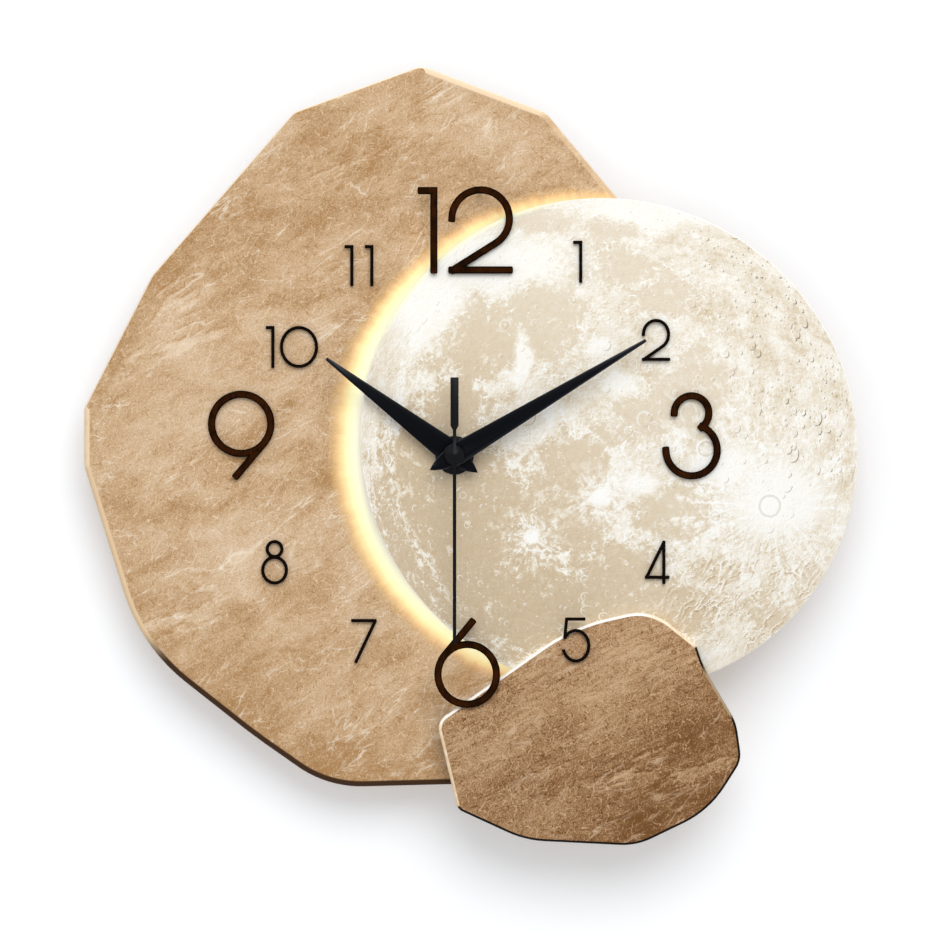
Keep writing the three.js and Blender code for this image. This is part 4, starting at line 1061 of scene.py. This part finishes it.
class Workbench:
    """Mesh making with Blender's operators; lengths are in millimetres."""

    START_RADIUS = 100.0
    BORE_SIDES = 48
    MERGE_GAP = 0.004
    SLIVER = 0.001
    FLAT_DEGREES = 0.5
    SMOOTH_DEGREES = 32.0

    @staticmethod
    def clear() -> None:
        """Goes to object mode and selects nothing."""
        active = bpy.context.view_layer.objects.active
        if active is not None and active.mode != "OBJECT":
            bpy.ops.object.mode_set(mode="OBJECT")
        bpy.ops.object.select_all(action="DESELECT")

    @classmethod
    def hold(cls, piece: bpy.types.Object) -> None:
        """Selects one piece alone and makes it active."""
        cls.clear()
        piece.select_set(True)
        bpy.context.view_layer.objects.active = piece

    @classmethod
    def plate(cls, name: str, points: Sequence[Point], back: float, front: float, rounding: float,
              segments: int = 4) -> bpy.types.Object:
        """Makes a board from its outline, with its front rim eased.

        Args:
            name: name of the piece.
            points: the outline in millimetres, anticlockwise from the front.
            back: depth of its back from the wall in millimetres.
            front: depth of its front.
            rounding: radius of the eased rim.
            segments: steps of that rim.

        Returns:
            The board.
        """
        cls.clear()
        bpy.ops.mesh.primitive_circle_add(vertices=len(points), radius=cls.START_RADIUS * MM,
                                          fill_type="NGON")
        plate = bpy.context.object
        plate.name = name
        for vertex, (x, z) in zip(plate.data.vertices, points):
            vertex.co = (x * MM, -back * MM, z * MM)
        bpy.ops.object.mode_set(mode="EDIT")
        bpy.ops.mesh.select_mode(type="FACE")
        bpy.ops.mesh.select_all(action="SELECT")
        bpy.ops.mesh.extrude_region_move(TRANSFORM_OT_translate={"value": (0, (back - front) * MM, 0)})
        bpy.ops.mesh.region_to_loop()
        bpy.ops.mesh.bevel(offset=rounding * MM, segments=segments, affect="EDGES", clamp_overlap=False)
        bpy.ops.mesh.select_all(action="SELECT")
        bpy.ops.mesh.normals_make_consistent(inside=False)
        bpy.ops.object.mode_set(mode="OBJECT")
        bpy.ops.object.shade_smooth_by_angle(angle=math.radians(cls.SMOOTH_DEGREES))
        return plate

    @classmethod
    def bore(cls, piece: bpy.types.Object, radius: float, back: float, front: float) -> None:
        """Cuts the round hole for the bush, on the arbor's axis.

        Args:
            piece: the board.
            radius: radius of the hole in millimetres.
            back: depth where the cutter starts.
            front: depth where it ends.
        """
        cls.clear()
        bpy.ops.mesh.primitive_cylinder_add(vertices=cls.BORE_SIDES, radius=radius * MM,
                                            depth=(front - back) * MM,
                                            location=(0, -(front + back) / 2 * MM, 0),
                                            rotation=(math.pi / 2, 0, 0))
        cls.cut_by(piece, bpy.context.object)

    @classmethod
    def engrave(cls, piece: bpy.types.Object, mark: Spot, depth: float) -> None:
        """Sinks a straight mark into the side of a piece that lies on the wall plane.

        Args:
            piece: the piece.
            mark: middle and half sizes of the mark in millimetres.
            depth: how deep it is.
        """
        cls.clear()
        bpy.ops.mesh.primitive_cube_add(size=1, location=(mark.u * MM, 0, mark.v * MM),
                                        scale=(2 * mark.width * MM, 2 * depth * MM, 2 * mark.height * MM))
        cls.cut_by(piece, bpy.context.object)

    @classmethod
    def cut_by(cls, piece: bpy.types.Object, cutter: bpy.types.Object) -> None:
        """Takes one shape out of a piece and deletes it.

        Args:
            piece: the piece that is cut.
            cutter: the shape that is taken out of it.
        """
        cls.hold(piece)
        cut = piece.modifiers.new("cut", "BOOLEAN")
        cut.operation = "DIFFERENCE"
        cut.solver = "EXACT"
        cut.object = cutter
        bpy.ops.object.modifier_apply(modifier=cut.name)
        cls.hold(cutter)
        bpy.ops.object.delete()

    @classmethod
    def eased(cls, node: str, width: float, segments: int = 2) -> bpy.types.Object:
        """Makes a copy of a CAD node whose sharp edges are eased.

        Args:
            node: the CAD node.
            width: width of the eased edge in millimetres.
            segments: steps of that edge.

        Returns:
            The copy.
        """
        piece = bpy.data.objects.new(f"{node}_eased", frame["nodes"][node].data.copy())
        bpy.context.scene.collection.objects.link(piece)
        piece.data.materials.clear()
        cls.hold(piece)
        bpy.ops.object.mode_set(mode="EDIT")
        bpy.ops.mesh.select_all(action="SELECT")
        bpy.ops.mesh.remove_doubles(threshold=cls.MERGE_GAP * MM)
        bpy.ops.mesh.dissolve_limited(angle_limit=math.radians(cls.FLAT_DEGREES))
        bpy.ops.object.mode_set(mode="OBJECT")
        ease = piece.modifiers.new("eased_edges", "BEVEL")
        ease.width = width * MM
        ease.segments = segments
        ease.limit_method = "ANGLE"
        ease.angle_limit = math.radians(cls.SMOOTH_DEGREES)
        bpy.ops.object.modifier_apply(modifier=ease.name)
        bpy.ops.object.mode_set(mode="EDIT")
        bpy.ops.mesh.select_all(action="SELECT")
        bpy.ops.mesh.dissolve_degenerate(threshold=cls.SLIVER * MM)
        bpy.ops.object.mode_set(mode="OBJECT")
        bpy.ops.object.shade_smooth_by_angle(angle=math.radians(cls.SMOOTH_DEGREES))
        return piece


def rounded_outline(corners: Sequence[Corner], step_degrees: float = 4.0) -> list[Point]:
    """Rounds a polygon's corners by arcs that touch both edges.

    Args:
        corners: x, height and radius of each corner in millimetres, anticlockwise.
        step_degrees: largest turn between two points.

    Returns:
        The outline's points.
    """
    points: list[Point] = []
    count = len(corners)
    for i, (x, z, radius) in enumerate(corners):
        corner = Vector((x, z))
        before = Vector(corners[i - 1][:2]) - corner
        after = Vector(corners[(i + 1) % count][:2]) - corner
        room = 0.48 * min(before.length, after.length)
        before.normalize()
        after.normalize()
        half = math.acos(max(-1.0, min(1.0, before.dot(after)))) / 2
        reach = min(radius / math.tan(half), room)
        centre = corner + (before + after).normalized() * (reach / math.cos(half))
        first, last = corner + before * reach - centre, corner + after * reach - centre
        turn = math.atan2(first.x * last.y - first.y * last.x, first.dot(last))
        steps = max(1, math.ceil(abs(math.degrees(turn)) / step_degrees))
        for k in range(steps + 1):
            angle = turn * k / steps
            points.append((centre.x + first.x * math.cos(angle) - first.y * math.sin(angle),
                           centre.y + first.x * math.sin(angle) + first.y * math.cos(angle)))
    return points


class SubAssembly:
    """What the clock's sub-assemblies share: seating new pieces and dressing CAD nodes."""

    def body_of(self, node: str) -> str:
        """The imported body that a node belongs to."""
        bodies = frame["record"]["behaviour"]["bodies"]
        return next(name for name, members in bodies.items() if node in members)

    def seat(self, piece: bpy.types.Object, node: str, material: bpy.types.Material) -> None:
        """Puts a new piece in a CAD node's place, on its body and in its finish.

        Args:
            piece: the new piece.
            node: the CAD node that it stands for.
            material: its finish.
        """
        piece.data.materials.clear()
        piece.data.materials.append(material)
        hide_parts(node)
        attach(piece, self.body_of(node))
        log.info("%s stands for %s", piece.name, node)

    def dress(self, material: bpy.types.Material, *nodes: str) -> None:
        """Gives CAD nodes a finish.

        Args:
            material: the finish.
            nodes: the nodes that take it.
        """
        for node in nodes:
            mesh = frame["nodes"][node].data
            mesh.materials.clear()
            mesh.materials.append(material)
            log.info("%s dressed in %s", node, material.name)


@dataclass
class Boards(SubAssembly):
    """The three printed boards and the blocks that part them."""

    base_corners: tuple[Corner, ...] = (
        (-17.3, 201.2, 10), (-82.9, 177.3, 8), (-156.2, 93.1, 15), (-191.3, 24.5, 8),
        (-191.3, -5.5, 10), (-162.0, -98.9, 95), (-103.8, -144.8, 200), (-65.7, -171.5, 57),
        (54.3, -168.4, 20), (105.9, -95.2, 60), (126.5, 18.2, 60), (100.7, 112.8, 30),
        (47.1, 177.0, 12),
    )
    pebble_corners: tuple[Corner, ...] = (
        (-9.2, -137.2, 8), (1.5, -182.1, 6), (36.3, -198.1, 52), (93.6, -200.9, 34),
        (131.0, -182.9, 63), (147.6, -156.9, 13.5), (144.9, -137.4, 26), (127.9, -108.5, 57),
        (124.4, -97.9, 5), (101.1, -79.1, 26.6), (60.9, -88.0, 96),
    )
    moon: MoonShape = MoonShape()
    base_rounding: float = 3.4
    pebble_rounding: float = 1.8
    moon_rounding: float = 0.6
    moon_rim_steps: int = 2
    moon_sides: int = 180
    bush_hole: float = 4.3
    bore_overrun: float = 1.0
    base_print: StonePrint = StonePrint(
        name="sand_stone_print", dark=srgb(172, 131, 85), middle=srgb(207, 175, 138),
        light=srgb(231, 208, 180), vein=srgb(240, 224, 201), vein_degrees=27.0, seed=0.0, level=0.385,
        mottle=1.15, streak=0.25, grain=0.55, fibre=0.32, scratch=0.5, shade=0.05,
        shade_towards=(0.25, -0.97), shade_span=(-50.0, 170.0), glow=GlowBand(),
        # Rim colours: a painted highlight above and painted shade below.
        rim_shading=PaintedRimShading(white=srgb(246, 226, 197), cream=srgb(242, 217, 183), tan=srgb(236, 206, 167),
                        dark=srgb(70, 48, 31), upper_cut=0.38, dark_from=0.0, right_share=0.5),
        lighter=(Spot(-128.0, -42.0, 60.0, 55.0), Spot(-62.0, -128.0, 48.0, 36.0),
                 Spot(-62.0, 40.0, 30.0, 60.0), Spot(-44.0, -78.0, 26.0, 30.0),
                 Spot(70.0, 142.0, 36.0, 34.0)))
    pebble_print: StonePrint = StonePrint(
        name="brown_stone_print", dark=srgb(116, 78, 43), middle=srgb(165, 127, 90),
        light=srgb(200, 167, 131), vein=srgb(205, 177, 146), vein_degrees=24.0, seed=40.0, level=0.58,
        mottle=0.85, streak=0.36, grain=0.8, fibre=0.55, scratch=1.5, shade=0.45,
        shade_towards=(0.75, -0.66), shade_span=(130.0, 215.0),
        # Rim colours: a painted highlight above and near-black painted shade below and to the right.
        rim_shading=PaintedRimShading(dark=srgb(10, 6, 4), upper_cut=0.02, lower_cut=0.04))

    def depths(self, node: str) -> tuple[float, float]:
        """Back and front of a node, in millimetres from the wall."""
        low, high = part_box(node)
        return -high.y / MM, -low.y / MM

    def build(self) -> None:
        """Models the boards, cuts their holes and dresses them and their blocks."""
        base = Workbench.plate("base_board_print", rounded_outline(self.base_corners),
                               *self.depths("base_board"), self.base_rounding)
        moon = Workbench.plate("moon_board_print", self.moon.outline(self.moon_sides),
                               *self.depths("moon_board"), self.moon_rounding, self.moon_rim_steps)
        for board, node in ((base, "base_board"), (moon, "moon_board")):
            back, front = self.depths(node)
            Workbench.bore(board, self.bush_hole, back - self.bore_overrun, front + self.bore_overrun)
        pebble = Workbench.plate("pebble_board_print", rounded_outline(self.pebble_corners),
                                 *self.depths("pebble_board"), self.pebble_rounding)
        self.seat(base, "base_board", self.base_print.material())
        self.seat(moon, "moon_board", MoonPrint().material())
        self.seat(pebble, "pebble_board", self.pebble_print.material())
        blocks = [f"moon_spacer_{number}" for number in range(1, 5)]
        pins = ["stand_off_12_ten", "stand_off_12_unit", "stand_off_6"]
        self.dress(RawBoard().material(), "pebble_block", *blocks, *pins)


@dataclass
class Numerals(SubAssembly):
    """The raised numerals: the four large ones are brown, the others nearly black."""

    brown: StainedNumeral = StainedNumeral()
    black: StainedNumeral = StainedNumeral(name="numeral_black", face=srgb(17, 10, 7), grain=srgb(11, 6, 4))
    large: tuple[str, ...] = ("numeral_12_ten", "numeral_12_unit", "numeral_3", "numeral_6", "numeral_9")

    def build(self) -> None:
        """Dresses every digit."""
        digits = sorted(name for name in frame["nodes"] if name.startswith("numeral_"))
        self.dress(self.brown.material(), *self.large)
        self.dress(self.black.material(), *(name for name in digits if name not in self.large))


@dataclass
class Hands(SubAssembly):
    """The three hands with the washer and nut under them."""

    lacquer: HandLacquer = HandLacquer()
    plated: SolidFinish = SolidFinish("black_plate", srgb(6, 7, 11), Gloss.PLATED, texture_scale=2600.0,
                                      texture_depth=0.00001, variation=0.2, specular=0.12)
    edge: float = 0.45
    fixing_edge: float = 0.15

    def build(self) -> None:
        """Eases the edges of the hands and their fixings and dresses them."""
        lacquer, plated = self.lacquer.material(), self.plated.material()
        for node in ("hour_hand", "minute_hand"):
            self.seat(Workbench.eased(node, self.edge), node, lacquer)
        for node in ("second_hand", "hub_washer", "hex_nut"):
            self.seat(Workbench.eased(node, self.fixing_edge), node, plated)


@dataclass
class Hanging(SubAssembly):
    """The hanger plate, the wall pads and the washer behind the boards."""

    zinc: SolidFinish = SolidFinish("zinc_plate", srgb(186, 189, 190), Gloss.PLATED, metal=1.0,
                                    texture_scale=900.0, texture_depth=0.00001, stretch=0.05,
                                    variation=0.18, specular=0.5)
    rubber: SolidFinish = SolidFinish("pad_rubber", srgb(34, 34, 35), Gloss.RAW, texture_scale=1200.0,
                                      texture_depth=0.00005, variation=0.3)
    plate_edge: float = 0.2
    pad_edge: float = 1.0
    pad_steps: int = 3

    def build(self) -> None:
        """Eases and dresses the hanging parts."""
        zinc, rubber = self.zinc.material(), self.rubber.material()
        self.seat(Workbench.eased("hanger_plate", self.plate_edge), "hanger_plate", zinc)
        for pad in ("lower_pad_left", "lower_pad_right"):
            self.seat(Workbench.eased(pad, self.pad_edge, self.pad_steps), pad, rubber)
        self.dress(rubber, "rubber_washer")


@dataclass
class Movement(SubAssembly):
    """The quartz movement: case, cell, motor and train."""

    plastic: SolidFinish = SolidFinish("case_plastic", srgb(27, 28, 30), Gloss.MATT, texture_scale=2200.0,
                                       texture_depth=0.00006, variation=0.2, specular=0.4)
    nylon: SolidFinish = SolidFinish("wheel_nylon", srgb(228, 225, 212), texture_depth=0.00002,
                                     variation=0.08, specular=0.4)
    brass: SolidFinish = SolidFinish("turned_brass", srgb(201, 162, 82), Gloss.PLATED, metal=1.0,
                                     texture_scale=2500.0, texture_depth=0.00001, variation=0.15,
                                     specular=0.5)
    steel: SolidFinish = SolidFinish("sheet_steel", srgb(176, 179, 182), Gloss.PLATED, metal=1.0,
                                     texture_depth=0.00001, stretch=0.1, variation=0.15, specular=0.5)
    copper: SolidFinish = SolidFinish("enamelled_wire", srgb(168, 88, 48), Gloss.PLATED, metal=0.8,
                                      texture_scale=9000.0, texture_depth=0.00006, stretch=0.02,
                                      variation=0.4, specular=0.5)
    mask: SolidFinish = SolidFinish("solder_mask", srgb(38, 98, 52), texture_scale=1200.0,
                                    texture_depth=0.00002, variation=0.3, specular=0.5)
    case_edge: float = 0.5
    knob_edge: float = 0.12
    cover_edge: float = 0.3
    cell_edge: float = 0.6
    cell_steps: int = 3
    pole_marks: tuple[Spot, ...] = (Spot(-21.0, -6.0, 2.2, 0.45), Spot(-21.0, -6.0, 0.45, 2.2),
                                    Spot(21.0, -6.0, 2.2, 0.45))
    mark_depth: float = 0.5

    def build(self) -> None:
        """Eases the outer pieces and dresses all of them."""
        plastic = self.plastic.material()
        for node, width in (("movement_front_case", self.case_edge), ("set_knob", self.knob_edge)):
            self.seat(Workbench.eased(node, width), node, plastic)
        cover = Workbench.eased("movement_rear_cover", self.cover_edge)
        for mark in self.pole_marks:
            Workbench.engrave(cover, mark, self.mark_depth)
        self.seat(cover, "movement_rear_cover", plastic)
        cell = Workbench.eased("battery_cell", self.cell_edge, self.cell_steps)
        self.seat(cell, "battery_cell", CellSleeve().material())
        brass, steel, nylon = self.brass.material(), self.steel.material(), self.nylon.material()
        self.dress(brass, "threaded_bush", "centre_wheel", "hour_wheel")
        self.dress(steel, "contact_positive", "contact_negative", "quartz_can", "stator", "coil_core",
                   "rotor")
        self.dress(nylon, "middle_plate", "intermediate_wheel", "seconds_wheel", "third_wheel",
                   "motion_wheel")
        self.dress(self.copper.material(), "motor_coil")
        self.dress(self.mask.material(), "circuit_board")


@dataclass
class Studio:
    """The white wall, the light and the camera in front of the dial.

    The frame, the aim, the dial's depth and the wall's gap are in millimetres, the distances and the
    wall's half width in metres, and the angles in degrees.
    """

    frame_width: float = 484.6
    aim: tuple[float, float] = (7.94, -7.58)
    distance: float = 4.0
    dial_depth: float = 32.0
    key_level: float = 0.37
    side_level: float = 0.035
    sky_level: float = 0.61
    rear_level: float = 0.35
    key_azimuth: float = 10.0
    side_azimuth: float = -55.0
    rear_azimuth: float = 160.0
    key_elevation: float = 38.0
    side_elevation: float = 38.0
    rear_elevation: float = 40.0
    lamp_size: float = 46.0
    lamp_distance: float = 2.0
    wall_paint: Colour = (0.852, 0.878, 0.906, 1.0)
    wall_glow: float = 0.21
    wall_half: float = 2.5
    wall_gap: float = 0.6
    white: Colour = (1.0, 1.0, 1.0, 1.0)
    white_level: float = 1.0
    sensor_width: float = 36.0
    far_clip: float = 100.0

    def build(self) -> None:
        """Makes the wall, the lamps, the sky and the camera."""
        self.wall()
        self.lamp("key_light", self.key_level, self.key_azimuth, self.key_elevation)
        self.lamp("side_light", self.side_level, self.side_azimuth, self.side_elevation)
        self.lamp("rear_light", self.rear_level, self.rear_azimuth, self.rear_elevation)
        self.sky()
        self.camera()
        bpy.context.scene.view_settings.view_transform = "Standard"

    def wall(self) -> None:
        """Makes the wall just behind the clock: seen from the front, clear from behind and to light."""
        Workbench.clear()
        bpy.ops.mesh.primitive_plane_add(size=2 * self.wall_half, location=(0, self.wall_gap * MM, 0),
                                         rotation=(math.pi / 2, 0, 0))
        wall = bpy.context.object
        wall.name = "wall"
        sheet = NodeSheet("wall_paint")
        behind = sheet.node("ShaderNodeNewGeometry", output="Backfacing")
        shown = sheet.seen() * (1.0 - behind)
        shaded = sheet.node("ShaderNodeBsdfDiffuse", None, {"Color": self.wall_paint})
        glowing = sheet.node("ShaderNodeEmission", None, {"Strength": self.wall_glow})
        paint = sheet.node("ShaderNodeAddShader", None, {0: shaded, 1: glowing})
        clear = sheet.node("ShaderNodeBsdfTransparent")
        mixed = sheet.node("ShaderNodeMixShader", None, {0: shown, 1: clear, 2: paint})
        sheet.node("ShaderNodeOutputMaterial", None, {"Surface": mixed})
        wall.data.materials.append(sheet.owner)

    def lamp(self, name: str, level: float, azimuth: float, elevation: float) -> None:
        """Adds a wide lamp.

        Args:
            name: name of the lamp.
            level: share of full light that it gives a surface facing the dial's way.
            azimuth: where it stands, in degrees from the front, to the right.
            elevation: how high it stands, in degrees.
        """
        side, up = math.radians(azimuth), math.radians(elevation)
        towards = Vector((math.sin(side) * math.cos(up), -math.cos(side) * math.cos(up), math.sin(up)))
        light = bpy.data.lights.new(name, "SUN")
        light.energy = level * math.pi / abs(towards.y)
        light.angle = math.radians(self.lamp_size)
        lamp = bpy.data.objects.new(name, light)
        lamp.rotation_mode = "QUATERNION"
        lamp.rotation_quaternion = towards.to_track_quat("Z", "Y")
        lamp.location = towards * self.lamp_distance
        bpy.context.scene.collection.objects.link(lamp)

    def sky(self) -> None:
        """Makes an even sky that looks white and lights at its own level."""
        world = bpy.data.worlds.new("studio_sky")
        bpy.context.scene.world = world
        sheet = NodeSheet(world.name, world)
        light, white = [sheet.node("ShaderNodeBackground", None, {"Color": self.white, "Strength": level})
                        for level in (self.sky_level, self.white_level)]
        mixed = sheet.node("ShaderNodeMixShader", None, {0: sheet.seen(), 1: light, 2: white})
        sheet.node("ShaderNodeOutputWorld", None, {"Surface": mixed})

    def camera(self) -> None:
        """Sets the camera straight in front of the dial with a long lens."""
        data = bpy.data.cameras.new("front_camera")
        data.sensor_width = self.sensor_width
        data.lens = data.sensor_width * self.distance / (self.frame_width * MM)
        data.clip_end = self.far_clip
        camera = bpy.data.objects.new("front_camera", data)
        camera.location = (self.aim[0] * MM, -self.distance - self.dial_depth * MM, self.aim[1] * MM)
        camera.rotation_euler = (math.pi / 2, 0.0, 0.0)
        bpy.context.scene.collection.objects.link(camera)
        bpy.context.scene.camera = camera


def write_sizes() -> None:
    """Logs a line; it writes no sizes."""
    log.info("sizes written")


def main() -> None:
    """Builds the sub-assemblies in order."""
    logging.basicConfig(level=logging.INFO, format="%(name)s: %(message)s")
    for part in (Boards(), Numerals(), Hands(), Hanging(), Movement(), Studio()):
        part.build()
        log.info("%s built", type(part).__name__)
    write_sizes()


if __name__ == "__main__":
    main()
